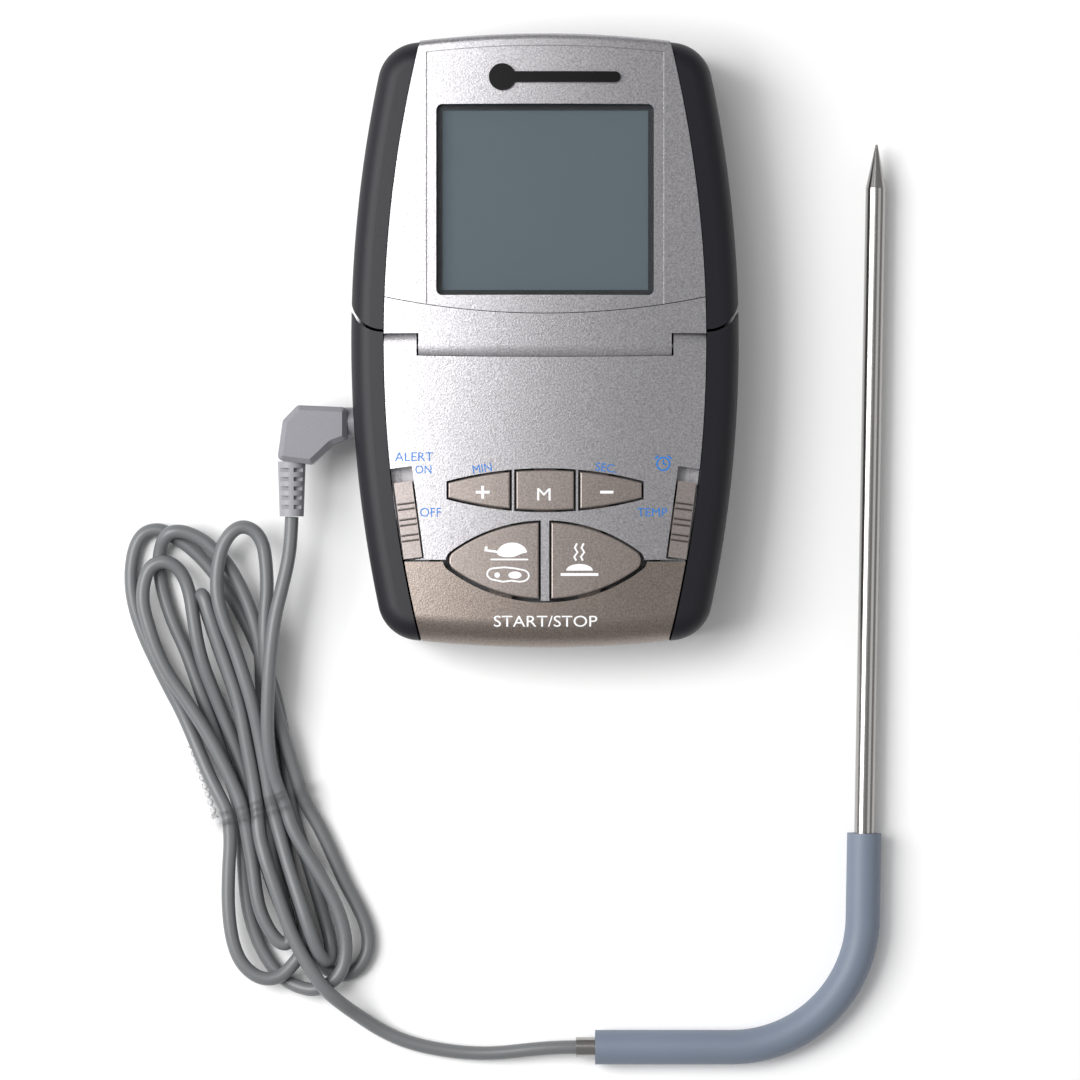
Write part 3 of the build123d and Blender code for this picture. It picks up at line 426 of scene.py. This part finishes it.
@dataclass
class Camera:
    """The camera, straight above the object and square to it, with a long lens."""

    centre_x: float = -0.9
    centre_y: float = -35.9
    height: float = 950.0
    field: float = 198.5
    sensor: float = 36.0

    def build(self) -> bpy.types.Object:
        """Make the camera and set it as the scene's own."""
        lens = bpy.data.cameras.new("camera")
        lens.sensor_width = self.sensor
        lens.lens = self.sensor * self.height / self.field
        lens.clip_start = 0.01
        eye = bpy.data.objects.new("camera", lens)
        eye.location = put(self.centre_x, self.centre_y, self.height)
        bpy.context.scene.collection.objects.link(eye)
        bpy.context.scene.camera = eye
        return eye


@dataclass
class ProbeCord:
    """The probe's thin cord: tail from the plug, a waisted hank of long loops, and the lead to the probe."""

    diameter: float = 2.5
    tail: list[Point] = field(default_factory=lambda: [
        (-46.1, -31.7, 9.0), (-46.2, -35.0, 8.9), (-46.7, -39.6, 8.8), (-48.0, -45.1, 8.8),
        (-49.2, -49.9, 8.8), (-50.0, -56.1, 8.7), (-50.5, -63.5, 7.9), (-50.7, -69.9, 7.0),
        (-50.3, -75.4, 5.9), (-49.2, -80.4, 4.8),
    ])
    first_foot: list[Point] = field(default_factory=lambda: [
        (-47.6, -84.2, 4.2), (-46.3, -88.8, 4.4), (-43.3, -93.8, 4.6), (-40.2, -98.7, 4.6),
        (-37.8, -103.5, 4.4), (-36.4, -108.5, 4.2), (-36.5, -113.3, 4.0), (-38.2, -116.4, 3.9),
        (-41.7, -118.4, 3.6), (-44.8, -118.0, 2.6), (-47.8, -116.6, 1.6), (-50.5, -113.6, 1.3),
        (-52.7, -109.6, 1.3), (-54.4, -104.3, 1.3), (-55.1, -98.6, 1.3), (-55.5, -91.9, 1.4),
        (-56.0, -84.8, 1.6),
    ])
    second_head: list[Point] = field(default_factory=lambda: [
        (-57.9, -79.1, 1.4), (-60.1, -72.7, 1.3), (-62.3, -66.4, 1.3), (-64.3, -60.5, 1.3),
        (-65.9, -56.1, 1.3), (-67.8, -52.1, 1.3), (-69.4, -47.8, 1.3), (-70.5, -43.6, 1.3),
        (-70.9, -39.9, 1.4), (-70.5, -37.4, 2.0), (-69.8, -35.5, 3.3), (-68.2, -34.2, 4.0),
        (-65.6, -34.4, 4.0), (-62.5, -35.9, 4.0), (-60.3, -37.9, 4.0), (-58.0, -40.3, 4.0),
        (-55.8, -44.2, 4.0), (-54.0, -48.2, 4.0), (-52.7, -52.6, 4.0), (-52.0, -57.0, 3.6),
        (-52.0, -61.6, 2.4), (-51.8, -66.2, 1.6), (-50.9, -72.7, 1.6), (-49.8, -78.5, 1.6),
        (-49.0, -84.4, 1.6),
    ])
    second_foot: list[Point] = field(default_factory=lambda: [
        (-48.1, -90.7, 1.7), (-46.7, -96.5, 2.4), (-45.0, -102.1, 3.4), (-43.9, -107.6, 3.7),
        (-44.3, -111.2, 3.9), (-46.1, -113.6, 3.9), (-47.9, -115.5, 4.1), (-50.3, -116.4, 4.2),
        (-53.1, -115.7, 4.2), (-55.8, -113.1, 4.2), (-57.3, -109.0, 4.2), (-58.0, -103.0, 4.2),
        (-57.9, -96.2, 4.2), (-57.5, -90.7, 4.2), (-58.0, -85.7, 4.2),
    ])
    third_head: list[Point] = field(default_factory=lambda: [
        (-59.9, -82.2, 3.8), (-61.9, -78.2, 3.0), (-64.1, -73.0, 2.0), (-66.5, -67.5, 1.4),
        (-68.9, -63.1, 1.3), (-71.3, -58.3, 1.3), (-73.7, -53.2, 1.3), (-75.5, -47.8, 1.3),
        (-76.1, -42.7, 1.3), (-75.5, -37.7, 1.3), (-74.0, -34.8, 1.3), (-71.8, -33.9, 1.3),
        (-69.8, -34.2, 1.3), (-67.8, -35.5, 1.3), (-65.2, -37.2, 1.3), (-62.5, -39.8, 1.3),
        (-60.1, -42.7, 1.3), (-57.1, -46.9, 1.3), (-54.9, -51.0, 1.3), (-52.9, -55.2, 1.3),
        (-50.9, -60.2, 1.3), (-49.2, -65.3, 1.3), (-47.9, -72.7, 1.3), (-47.2, -78.5, 1.4),
        (-46.8, -84.2, 1.6),
    ])
    third_foot: list[Point] = field(default_factory=lambda: [
        (-45.7, -88.3, 1.5), (-44.1, -92.9, 1.5), (-42.2, -99.3, 1.5), (-40.6, -104.8, 1.5),
        (-39.3, -109.4, 2.0), (-39.1, -112.3, 3.2), (-40.2, -113.1, 4.6), (-41.7, -110.9, 5.8),
        (-43.2, -106.6, 6.4), (-45.0, -101.1, 6.0), (-47.2, -94.7, 5.0), (-48.9, -88.5, 4.3),
        (-50.1, -84.2, 4.2),
    ])
    fourth_head: list[Point] = field(default_factory=lambda: [
        (-50.9, -79.1, 4.6), (-52.0, -72.7, 5.2), (-53.3, -66.2, 6.2), (-54.7, -61.6, 6.5),
        (-56.8, -55.2, 6.5), (-58.8, -50.4, 6.5), (-59.9, -46.0, 6.5), (-59.9, -41.6, 6.5),
        (-59.0, -37.0, 6.5), (-57.1, -34.2, 6.5), (-55.1, -33.3, 6.4), (-52.9, -34.2, 6.3),
        (-51.4, -36.6, 6.2), (-50.9, -40.3, 6.1), (-50.7, -44.9, 6.0), (-51.1, -49.3, 6.0),
        (-51.2, -54.3, 6.0), (-50.9, -60.2, 5.0), (-49.6, -66.0, 4.3), (-47.8, -72.1, 3.9),
        (-45.9, -78.2, 2.8), (-44.3, -83.7, 1.6),
    ])
    fourth_foot: list[Point] = field(default_factory=lambda: [
        (-41.5, -88.3, 1.4), (-38.8, -94.0, 1.3), (-36.7, -98.9, 1.3), (-34.2, -103.3, 1.3),
        (-32.5, -107.4, 1.3), (-32.3, -111.2, 1.3), (-34.0, -114.5, 1.3), (-36.7, -116.0, 1.3),
        (-39.9, -114.9, 1.3), (-43.5, -112.2, 1.3), (-46.5, -107.6, 1.3), (-48.9, -102.1, 1.3),
        (-50.9, -96.5, 1.3), (-52.5, -91.0, 1.4), (-53.8, -84.8, 1.6),
    ])
    fifth_head: list[Point] = field(default_factory=lambda: [
        (-55.1, -79.1, 1.5), (-56.9, -73.6, 1.5), (-59.0, -68.1, 2.0), (-60.8, -63.5, 2.8),
        (-62.5, -59.1, 3.6), (-63.6, -54.8, 3.9), (-64.3, -50.4, 3.9), (-65.0, -45.5, 3.9),
        (-66.3, -42.0, 4.1), (-68.3, -40.1, 4.4), (-70.4, -39.8, 4.4), (-72.4, -40.9, 4.2),
        (-73.5, -43.8, 3.9), (-73.7, -47.5, 3.9), (-72.7, -51.3, 3.9), (-71.3, -55.7, 3.9),
        (-69.3, -60.0, 3.9), (-66.7, -63.8, 3.9), (-63.9, -67.9, 4.0), (-60.8, -73.0, 4.1),
        (-58.0, -78.5, 4.2), (-55.5, -84.2, 4.2),
    ])
    fifth_foot: list[Point] = field(default_factory=lambda: [
        (-54.4, -90.1, 4.0), (-53.5, -95.1, 3.9), (-52.7, -101.9, 3.9), (-51.4, -105.7, 3.9),
        (-49.4, -108.9, 3.9), (-47.6, -110.1, 3.9), (-46.3, -109.0, 3.9), (-47.0, -104.8, 3.9),
        (-48.7, -99.3, 3.9), (-50.1, -93.8, 3.6), (-50.9, -88.3, 2.4), (-51.4, -84.4, 1.6),
    ])
    sixth_head: list[Point] = field(default_factory=lambda: [
        (-52.7, -79.1, 1.5), (-54.2, -73.6, 1.4), (-55.8, -67.5, 1.4), (-57.7, -61.6, 1.5),
        (-59.7, -56.1, 1.8), (-61.5, -50.6, 2.4), (-62.6, -47.3, 3.2), (-63.0, -45.6, 4.2),
        (-62.3, -46.4, 5.1), (-61.4, -49.3, 5.4), (-59.9, -53.9, 5.3), (-58.0, -59.4, 5.1),
        (-56.0, -65.3, 4.9), (-54.7, -72.7, 4.6), (-53.5, -79.1, 4.3), (-52.7, -84.6, 4.2),
    ])
    lead: list[Point] = field(default_factory=lambda: [
        (-52.4, -89.2, 4.8), (-51.4, -93.2, 6.2), (-49.2, -99.7, 6.5), (-46.5, -107.4, 6.5),
        (-43.7, -112.9, 6.5), (-40.4, -117.9, 6.2), (-37.1, -120.8, 4.8), (-34.5, -122.8, 3.0),
        (-30.3, -125.8, 1.5), (-24.8, -128.3, 1.3), (-17.4, -129.8, 1.3), (-10.1, -130.2, 1.8),
        (-2.2, -129.2, 2.9), (2.8, -128.8, 3.2), (5.7, -128.8, 3.2),
    ])

    def line(self) -> list[Vector]:
        """Give the whole centreline's control points, in metres."""
        strands = [
            self.tail, self.first_foot, self.second_head, self.second_foot, self.third_head,
            self.third_foot, self.fourth_head, self.fourth_foot, self.fifth_head,
            self.fifth_foot, self.sixth_head, self.lead,
        ]
        return [put(*point) for strand in strands for point in strand]

    def build(self) -> bpy.types.Object:
        line = self.line()
        curve = bpy.data.curves.new("probe_cord", "CURVE")
        curve.dimensions = "3D"
        curve.bevel_depth = self.diameter * MM / 2
        curve.bevel_resolution = 4
        curve.resolution_u = 6
        curve.use_fill_caps = True
        strand = curve.splines.new("NURBS")
        strand.points.add(len(line) - 1)
        for slot, point in zip(strand.points, line):
            slot.co = (*point, 1.0)
        strand.order_u = 3
        strand.use_endpoint_u = True
        curve.materials.append(CORD.material())
        cord = bpy.data.objects.new("probe_cord", curve)
        bpy.context.scene.collection.objects.link(cord)
        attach(cord, Body.LEAD.value)
        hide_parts("cord_tail", "cord_hank", "cord_lead")
        length = sum((b - a).length for a, b in zip(line, line[1:]))
        LOG.info("probe cord: %.0f mm between its control points", length / MM)
        return cord


@dataclass
class CableTie:
    """The clear plastic tie: bands pulled round the waist of the hank and a twisted tail."""

    centre: Point = (-52.4, -84.4, 3.55)
    lean: float = 20.3
    half_length: float = 9.2
    half_height: float = 3.5
    wire: float = 0.55
    band_steps: int = 48
    fullness: float = 0.5
    bands: tuple[tuple[float, float], ...] = ((-1.25, -4.0), (0.1, 3.0), (1.25, -1.0))
    tail_start: Point = (-60.6, -87.0, 2.2)
    tail_end: Point = (-65.2, -73.6, 1.8)
    tail_wire: float = 0.42
    tail_swirl: float = 0.5
    tail_steps: int = 60
    tail_turns: float = 4.5

    def band(self, offset: float, lean: float) -> bmesh.types.BMesh:
        """Make one closed band round the hank.

        Args:
            offset: its shift along the hank, in millimetres.
            lean: its turn in plan, in degrees.

        Returns:
            The band's mesh, in place.
        """
        shape = bmesh.new()
        made = bmesh.ops.create_circle(
            shape, cap_ends=False, segments=10, radius=self.wire * MM,
            matrix=Matrix.Translation((self.half_length * MM, 0, 0)) @ Matrix.Rotation(math.pi / 2, 4, "X"),
        )
        edges = {edge for vert in made["verts"] for edge in vert.link_edges}
        bmesh.ops.spin(
            shape, geom=list(made["verts"]) + list(edges), cent=(0, 0, 0), axis=(0, 1, 0),
            steps=self.band_steps, angle=2 * math.pi, use_merge=True,
        )
        bmesh.ops.remove_doubles(shape, verts=shape.verts, dist=0.01 * MM)
        for vert in shape.verts:
            around = math.atan2(vert.co.z, vert.co.x)
            out = Vector((math.cos(around), 0, math.sin(around))) * self.half_length * MM
            bulge = abs(math.sin(around)) ** self.fullness
            height = math.copysign(bulge * self.half_height * MM, out.z) if out.z else 0.0
            vert.co = Vector((out.x, 0, height)) + (vert.co - out)
            vert.co.y += offset * MM
        turn = Matrix.Rotation(math.radians(lean), 4, "Z")
        bmesh.ops.transform(shape, matrix=Matrix.Translation(put(*self.centre)) @ turn, verts=shape.verts)
        return shape

    def build(self) -> None:
        """Make the bands and the twisted tail."""
        for number, (offset, turn) in enumerate(self.bands):
            shape = self.band(offset, self.lean + turn)
            finished(f"tie_band_{number}", shape, TIE, Body.LEAD.value)
        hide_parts("cord_tie")
        for number in (0, 1):
            shape = self.tail_strand(number * math.pi)
            finished(f"tie_tail_{number}", shape, TIE, Body.LEAD.value)

    def tail_strand(self, phase: float) -> bmesh.types.BMesh:
        """Make one strand of the twisted tail, as a disc extruded along a helix.

        Args:
            phase: where round the twist the strand starts, in radians.

        Returns:
            The strand's mesh, in place.
        """
        start, end = put(*self.tail_start), put(*self.tail_end)
        along = (end - start).normalized()
        side = along.cross(Vector((0, 0, 1))).normalized()
        up = side.cross(along)
        shape = bmesh.new()
        ring = bmesh.ops.create_circle(shape, cap_ends=True, segments=8, radius=self.tail_wire * MM)
        facing = Vector((0, 0, 1)).rotation_difference(along).to_matrix().to_4x4()
        bmesh.ops.transform(shape, matrix=facing, verts=ring["verts"])

        def spot(step: int) -> Vector:
            """Give the strand's centre at one step."""
            angle = phase + self.tail_turns * 2 * math.pi * step / self.tail_steps
            swirl = (side * math.cos(angle) + up * math.sin(angle)) * self.tail_swirl * MM
            return start.lerp(end, step / self.tail_steps) + swirl

        bmesh.ops.translate(shape, vec=spot(0), verts=ring["verts"])
        face = shape.faces[:][0]
        for step in range(1, self.tail_steps + 1):
            made = bmesh.ops.extrude_face_region(shape, geom=[face])
            fresh = [item for item in made["geom"] if isinstance(item, bmesh.types.BMVert)]
            bmesh.ops.translate(shape, vec=spot(step) - spot(step - 1), verts=fresh)
            if step > 1:
                bmesh.ops.delete(shape, geom=[face], context="FACES_ONLY")
            face = [item for item in made["geom"] if isinstance(item, bmesh.types.BMFace)][0]
        return shape


class Print:
    """Flat printed marks laid on the CAD's own faces."""

    lift: float = 0.035
    longest_edge: float = 0.9
    splits: int = 4
    above: float = 50.0
    case_top: float = 16.0

    def __init__(self, node: str) -> None:
        """Take the CAD node that the marks are printed on."""
        self.node = node
        mesh = frame["nodes"][node].data
        self.tree = BVHTree.FromPolygons(
            [vert.co.copy() for vert in mesh.vertices], [list(face.vertices) for face in mesh.polygons]
        )

    def lay(self, name: str, shape: bmesh.types.BMesh, finish: Finish) -> bpy.types.Object:
        """Drop a flat mesh on the node's upper face and make it a piece.

        Args:
            name: the piece's name.
            shape: the flat mesh, in metres, at its place in X and Y.
            finish: the ink.

        Returns:
            The new piece.
        """
        bmesh.ops.triangulate(shape, faces=shape.faces)
        longest = self.longest_edge * MM
        for _ in range(self.splits):
            long_edges = [edge for edge in shape.edges if edge.calc_length() > longest]
            if not long_edges:
                break
            bmesh.ops.subdivide_edges(shape, edges=long_edges, cuts=1)
            bmesh.ops.triangulate(shape, faces=shape.faces)
        for vert in shape.verts:
            start = Vector((vert.co.x, vert.co.y, self.above * MM))
            hit = self.tree.ray_cast(start, Vector((0, 0, -1)))[0]
            vert.co.z = (hit.z if hit else self.case_top * MM) + self.lift * MM
        piece = finished(name, shape, finish, node_body(self.node))
        mesh = piece.data
        if sum(face.normal.z for face in mesh.polygons) < 0:
            mesh.flip_normals()
        return piece

    def words(
        self,
        name: str,
        text: str,
        centre: tuple[float, float],
        size: tuple[float, float],
        finish: Finish,
        tilt: float = 0.0,
    ) -> bpy.types.Object:
        """Print a word, stretched to a size.

        Args:
            name: the piece's name.
            text: the word.
            centre: its middle, in millimetres.
            size: its width and height, in millimetres.
            finish: the ink.
            tilt: its turn, in degrees.

        Returns:
            The new piece.
        """
        face = bpy.data.curves.new(name + "_curve", "FONT")
        face.body = text
        face.resolution_u = 4
        holder = bpy.data.objects.new(name + "_curve", face)
        bpy.context.scene.collection.objects.link(holder)
        bpy.context.view_layer.update()
        flat = bpy.data.meshes.new_from_object(holder)
        shape = bmesh.new()
        shape.from_mesh(flat)
        bpy.data.objects.remove(holder)
        bpy.data.meshes.remove(flat)
        bpy.data.curves.remove(face)
        xs = [vert.co.x for vert in shape.verts]
        ys = [vert.co.y for vert in shape.verts]
        middle = Vector(((min(xs) + max(xs)) / 2, (min(ys) + max(ys)) / 2, 0))
        wide, high = max(xs) - min(xs), max(ys) - min(ys)
        stretch = Matrix.Diagonal((size[0] * MM / wide, size[1] * MM / high, 1, 1))
        place = (
            Matrix.Translation(put(centre[0], centre[1], 0))
            @ Matrix.Rotation(math.radians(tilt), 4, "Z")
            @ stretch
            @ Matrix.Translation(-middle)
        )
        bmesh.ops.transform(shape, matrix=place, verts=shape.verts)
        bmesh.ops.remove_doubles(shape, verts=shape.verts, dist=0.004 * MM)
        return self.lay(name, shape, finish)

    def bars(
        self, name: str, boxes: list[tuple[float, float, float, float, float]], finish: Finish
    ) -> bpy.types.Object:
        """Print solid bars.

        Args:
            name: the piece's name.
            boxes: for each bar its centre x and y, width, height and turn in degrees.
            finish: the ink.

        Returns:
            The new piece.
        """
        shape = bmesh.new()
        for x, y, width, height, turn in boxes:
            matrix = (
                Matrix.Translation(put(x, y, 0))
                @ Matrix.Rotation(math.radians(turn), 4, "Z")
                @ Matrix.Diagonal((width * MM, height * MM, 1, 1))
            )
            bmesh.ops.create_grid(shape, x_segments=1, y_segments=1, size=0.5, matrix=matrix)
        return self.lay(name, shape, finish)

    def patch(
        self, name: str, points: list[tuple[float, float]], finish: Finish
    ) -> bpy.types.Object:
        """Print a solid shape.

        Args:
            name: the piece's name.
            points: the shape's outline, in millimetres.
            finish: the ink.

        Returns:
            The new piece.
        """
        shape = bmesh.new()
        shape.faces.new([shape.verts.new((x * MM, y * MM, 0)) for x, y in points])
        return self.lay(name, shape, finish)

    def outline(
        self,
        name: str,
        points: list[tuple[float, float]],
        stroke: float,
        finish: Finish,
        closed: bool = True,
    ) -> bpy.types.Object:
        """Print a line of even width along an outline.

        Args:
            name: the piece's name.
            points: the outline's corners, in millimetres.
            stroke: the line's width, in millimetres.
            finish: the ink.
            closed: whether the last corner joins the first.

        Returns:
            The new piece.
        """
        shape = bmesh.new()
        count = len(points)
        spots = [Vector((x * MM, y * MM, 0)) for x, y in points]
        rims: list[tuple[bmesh.types.BMVert, bmesh.types.BMVert]] = []
        for index, spot in enumerate(spots):
            before = spots[index - 1] if closed or index else spot
            after = spots[(index + 1) % count] if closed or index < count - 1 else spot
            ahead = ((spot - before).normalized() + (after - spot).normalized()).normalized()
            side = Vector((-ahead.y, ahead.x, 0)) * stroke * MM / 2
            rims.append((shape.verts.new(spot + side), shape.verts.new(spot - side)))
        for index in range(count if closed else count - 1):
            one, two = rims[index], rims[(index + 1) % count]
            shape.faces.new((one[0], one[1], two[1], two[0]))
        return self.lay(name, shape, finish)


def arc(centre: tuple[float, float], radius: float, start: float, end: float, steps: int,
        flat: float = 1.0) -> list[tuple[float, float]]:
    """Give points along an arc, in millimetres, with its height scaled by flat."""
    return [
        (
            centre[0] + radius * math.cos(math.radians(start + (end - start) * step / steps)),
            centre[1] + flat * radius * math.sin(math.radians(start + (end - start) * step / steps)),
        )
        for step in range(steps + 1)
    ]


@dataclass
class Labels:
    """The printed marks of the switches and keys, and the painted shade in the slider grooves."""

    slider_labels: tuple = (
        ("label_alert", "ALERT", (-23.6, -20.9), (6.9, 1.6), 0.0),
        ("label_on", "ON", (-21.9, -23.2), (2.9, 1.5), 0.0),
        ("label_off", "OFF", (-20.6, -30.9), (3.8, 1.6), 0.0),
        ("label_temp", "TEMP", (19.3, -30.9), (5.4, 1.5), 0.0),
        ("label_minutes", "MIN", (-11.3, -23.0), (3.4, 1.5), 9.0),
        ("label_seconds", "SEC.", (11.0, -22.9), (3.8, 1.5), -7.0),
    )

    slider_x: float = 24.7
    slider_lean: float = 7.6
    groove_spacing: float = 2.85
    groove_width: float = 0.5

    def build(self) -> None:
        """Print every label on the face under it, and paint shade into the slider grooves."""
        cover = Print("base_front_cover")
        for name, text, centre, size, tilt in self.slider_labels:
            cover.words(name, text, centre, size, BLUE, tilt)
        self.clock(cover)
        Print("plus_key").bars("mark_plus", [(-11.2, -27.3, 2.5, 0.5, 0), (-11.2, -27.3, 0.5, 2.3, 0)], WHITE)
        Print("memory_key").words("mark_memory", "M", (-0.2, -27.7), (2.4, 2.2), WHITE)
        Print("minus_key").bars("mark_minus", [(11.1, -27.3, 2.4, 0.5, 0)], WHITE)
        Print("start_stop_key").words("mark_start_stop", "START/STOP", (0.1, -50.5), (18.6, 2.0), WHITE)
        self.meats()
        self.dish()
        self.paint_groove_shade()

    def clock(self, cover: Print) -> None:
        """Print the timer mark: a round clock with two hands and two bells."""
        x, y = 21.3, -22.2
        cover.outline("mark_clock", arc((x, y), 1.15, 0, 330, 22), 0.3, BLUE)
        cover.bars(
            "mark_clock_hands",
            [(x, y + 0.35, 0.25, 0.8, 0), (x + 0.25, y - 0.05, 0.65, 0.25, -30),
             (x - 1.15, y + 1.2, 0.9, 0.3, 40), (x + 1.15, y + 1.2, 0.9, 0.3, -40)],
            BLUE,
        )

    def meats(self) -> None:
        """Print the poultry and steak marks on the meat key."""
        key = Print("meat_key")
        breast = arc((-5.9, -38.3), 2.7, 5, 175, 14, 0.72)
        thigh = arc((-6.6, -38.3), 2.0, 185, 355, 10, 0.35)
        key.patch("mark_poultry", breast + thigh, WHITE)
        key.bars("mark_poultry_bone", [(-9.5, -37.9, 2.2, 0.42, -8), (-10.6, -37.5, 0.5, 0.9, -8)], WHITE)
        key.bars("mark_poultry_dish", [(-6.4, -39.4, 6.8, 0.3, 0)], WHITE)
        steak = (
            arc((-9.1, -42.0), 1.3, 90, 250, 8, 0.8)
            + [(-7.6, -43.4), (-6.0, -43.2), (-4.6, -43.4)]
            + arc((-4.2, -42.3), 1.3, -80, 80, 8, 0.8)
            + [(-5.4, -41.0), (-7.2, -40.8)]
        )
        key.outline("mark_steak", steak, 0.3, WHITE)
        key.patch("mark_steak_bone", arc((-8.6, -42.2), 0.5, 0, 330, 10), WHITE)
        key.patch("mark_steak_face", arc((-5.4, -42.2), 1.2, 0, 345, 14, 0.55), WHITE)

    def dish(self) -> None:
        """Print the serving dish mark, with steam, on the taste key."""
        key = Print("taste_key")
        key.patch("mark_dish_dome", arc((6.2, -41.4), 2.4, 0, 180, 14, 0.5), WHITE)
        key.bars("mark_dish_plate", [(6.2, -42.1, 6.8, 0.5, 0)], WHITE)
        for number, x in enumerate((5.6, 6.8)):
            wave = [(x, -39.6), (x - 0.35, -38.9), (x + 0.25, -38.1), (x - 0.25, -37.3), (x + 0.15, -36.5)]
            key.outline(f"mark_dish_steam_{number}", wave, 0.36, WHITE, False)

    def paint_groove_shade(self) -> None:
        """Paint shade into the paired grip grooves across each slider, as thin dark bars where shade falls.
        """
        for side, node in ((-1, "alert_slider"), (1, "mode_slider")):
            low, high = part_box(node)
            middle = (low + high) / 2 / MM
            lean = -side * math.radians(self.slider_lean)
            bars = []
            for row in (-1, 0, 1):
                for half in (-1, 1):
                    along = (row - 0.15) * self.groove_spacing + half * self.groove_width
                    x = side * self.slider_x - math.sin(lean) * along
                    bars.append((x, middle.y + math.cos(lean) * along, 3.1, 0.28, math.degrees(lean)))
            # The dark bars are painted shade along each groove.
            Print(node).bars(node + "_painted_groove_shade", bars, PAINTED_GROOVE_SHADE)


@dataclass
class SlotApron:
    """The thin pale apron on each slider that closes its slot from below."""

    height: float = 16.25
    lean: float = 7.6
    width: float = 4.4
    length: float = 20.5
    thick: float = 0.3

    def build(self) -> None:
        """Make both aprons, each riding on its slider."""
        for side, node in ((-1, "alert_slider"), (1, "mode_slider")):
            low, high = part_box(node)
            shape = bmesh.new()
            middle = (low + high) / 2
            matrix = (
                Matrix.Translation(Vector((middle.x, middle.y, self.height * MM)))
                @ Matrix.Rotation(math.radians(-side * self.lean), 4, "Z")
                @ Matrix.Diagonal((self.width * MM, self.length * MM, self.thick * MM, 1))
            )
            bmesh.ops.create_cube(shape, size=1.0, matrix=matrix)
            finished(node + "_apron", shape, SLOT_FLOOR, node_body(node), False)


@dataclass
class DisplayDetails:
    """The fine marks in the display window."""

    line_up: float = 1.4
    line_length: float = 33.6
    line_width: float = 0.16

    def build(self) -> None:
        """Print the thin line along the lower edge of the display's glass."""
        glass = Print("lcd_cell")
        low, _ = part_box("lcd_cell")
        line = (0.0, low.y / MM + self.line_up, self.line_length, self.line_width, 0)
        glass.bars("lcd_lower_line", [line], LCD_LINE)


@dataclass
class Studio:
    """The pale floor and the soft lights."""

    floor_half: float = 1.6
    floor_gap: float = 0.02
    aim: Point = (0.0, -35.0, 0.0)
    surround: float = 0.32
    key: tuple[Point, float, float, float] = ((-620, 60, 700), 600, 600, 9.0)
    top: tuple[Point, float, float, float] = ((-330, 260, 1050), 500, 400, 2.4)
    fill: tuple[Point, float, float, float] = ((700, -100, 700), 500, 500, 0.6)

    def floor(self) -> None:
        """Lay the plain floor just under the object."""
        shape = bmesh.new()
        bmesh.ops.create_grid(shape, x_segments=1, y_segments=1, size=self.floor_half)
        bmesh.ops.translate(shape, vec=(0, 0, -self.floor_gap * MM), verts=shape.verts)
        mesh = bpy.data.meshes.new("floor")
        shape.to_mesh(mesh)
        shape.free()
        mesh.materials.append(FLOOR.material())
        floor = bpy.data.objects.new("floor", mesh)
        bpy.context.scene.collection.objects.link(floor)

    def lamp(self, name: str, place: Point, width: float, depth: float, power: float) -> None:
        """Hang one soft area light, turned to the object's middle.

        Args:
            name: the light's name.
            place: where it hangs, in millimetres.
            width: its width, in millimetres.
            depth: its depth, in millimetres.
            power: its power, in watts.
        """
        light = bpy.data.lights.new(name, "AREA")
        light.shape = "RECTANGLE"
        light.size = width * MM
        light.size_y = depth * MM
        light.energy = power
        holder = bpy.data.objects.new(name, light)
        holder.location = put(*place)
        aim = put(*self.aim) - holder.location
        holder.rotation_euler = aim.to_track_quat("-Z", "Y").to_euler()
        bpy.context.scene.collection.objects.link(holder)

    def build(self) -> None:
        """Set the floor, the lights and a pale surrounding."""
        self.floor()
        self.lamp("key_light", *self.key)
        self.lamp("top_light", *self.top)
        self.lamp("fill_light", *self.fill)
        world = bpy.data.worlds.new("studio")
        world.use_nodes = True
        shade = world.node_tree.nodes["Background"]
        shade.inputs["Color"].default_value = (1.0, 1.0, 1.0, 1.0)
        shade.inputs["Strength"].default_value = self.surround
        bpy.context.scene.world = world
        bpy.context.scene.view_settings.view_transform = "Standard"


def dress_nodes() -> None:
    """Give each CAD node its finish."""
    for name, finish in NODE_FINISH.items():
        node = frame["nodes"][name]
        node.data.materials.clear()
        node.data.materials.append(finish.material())
        LOG.info("%s: %s", name, finish.name)


def main() -> None:
    """Build the looks in order and report each piece."""
    logging.basicConfig(level=logging.INFO, format="%(name)s: %(message)s")
    Camera().build()
    ProbeCord().build()
    dress_nodes()
    CableTie().build()
    Labels().build()
    SlotApron().build()
    DisplayDetails().build()
    Studio().build()


if __name__ == "__main__":
    main()
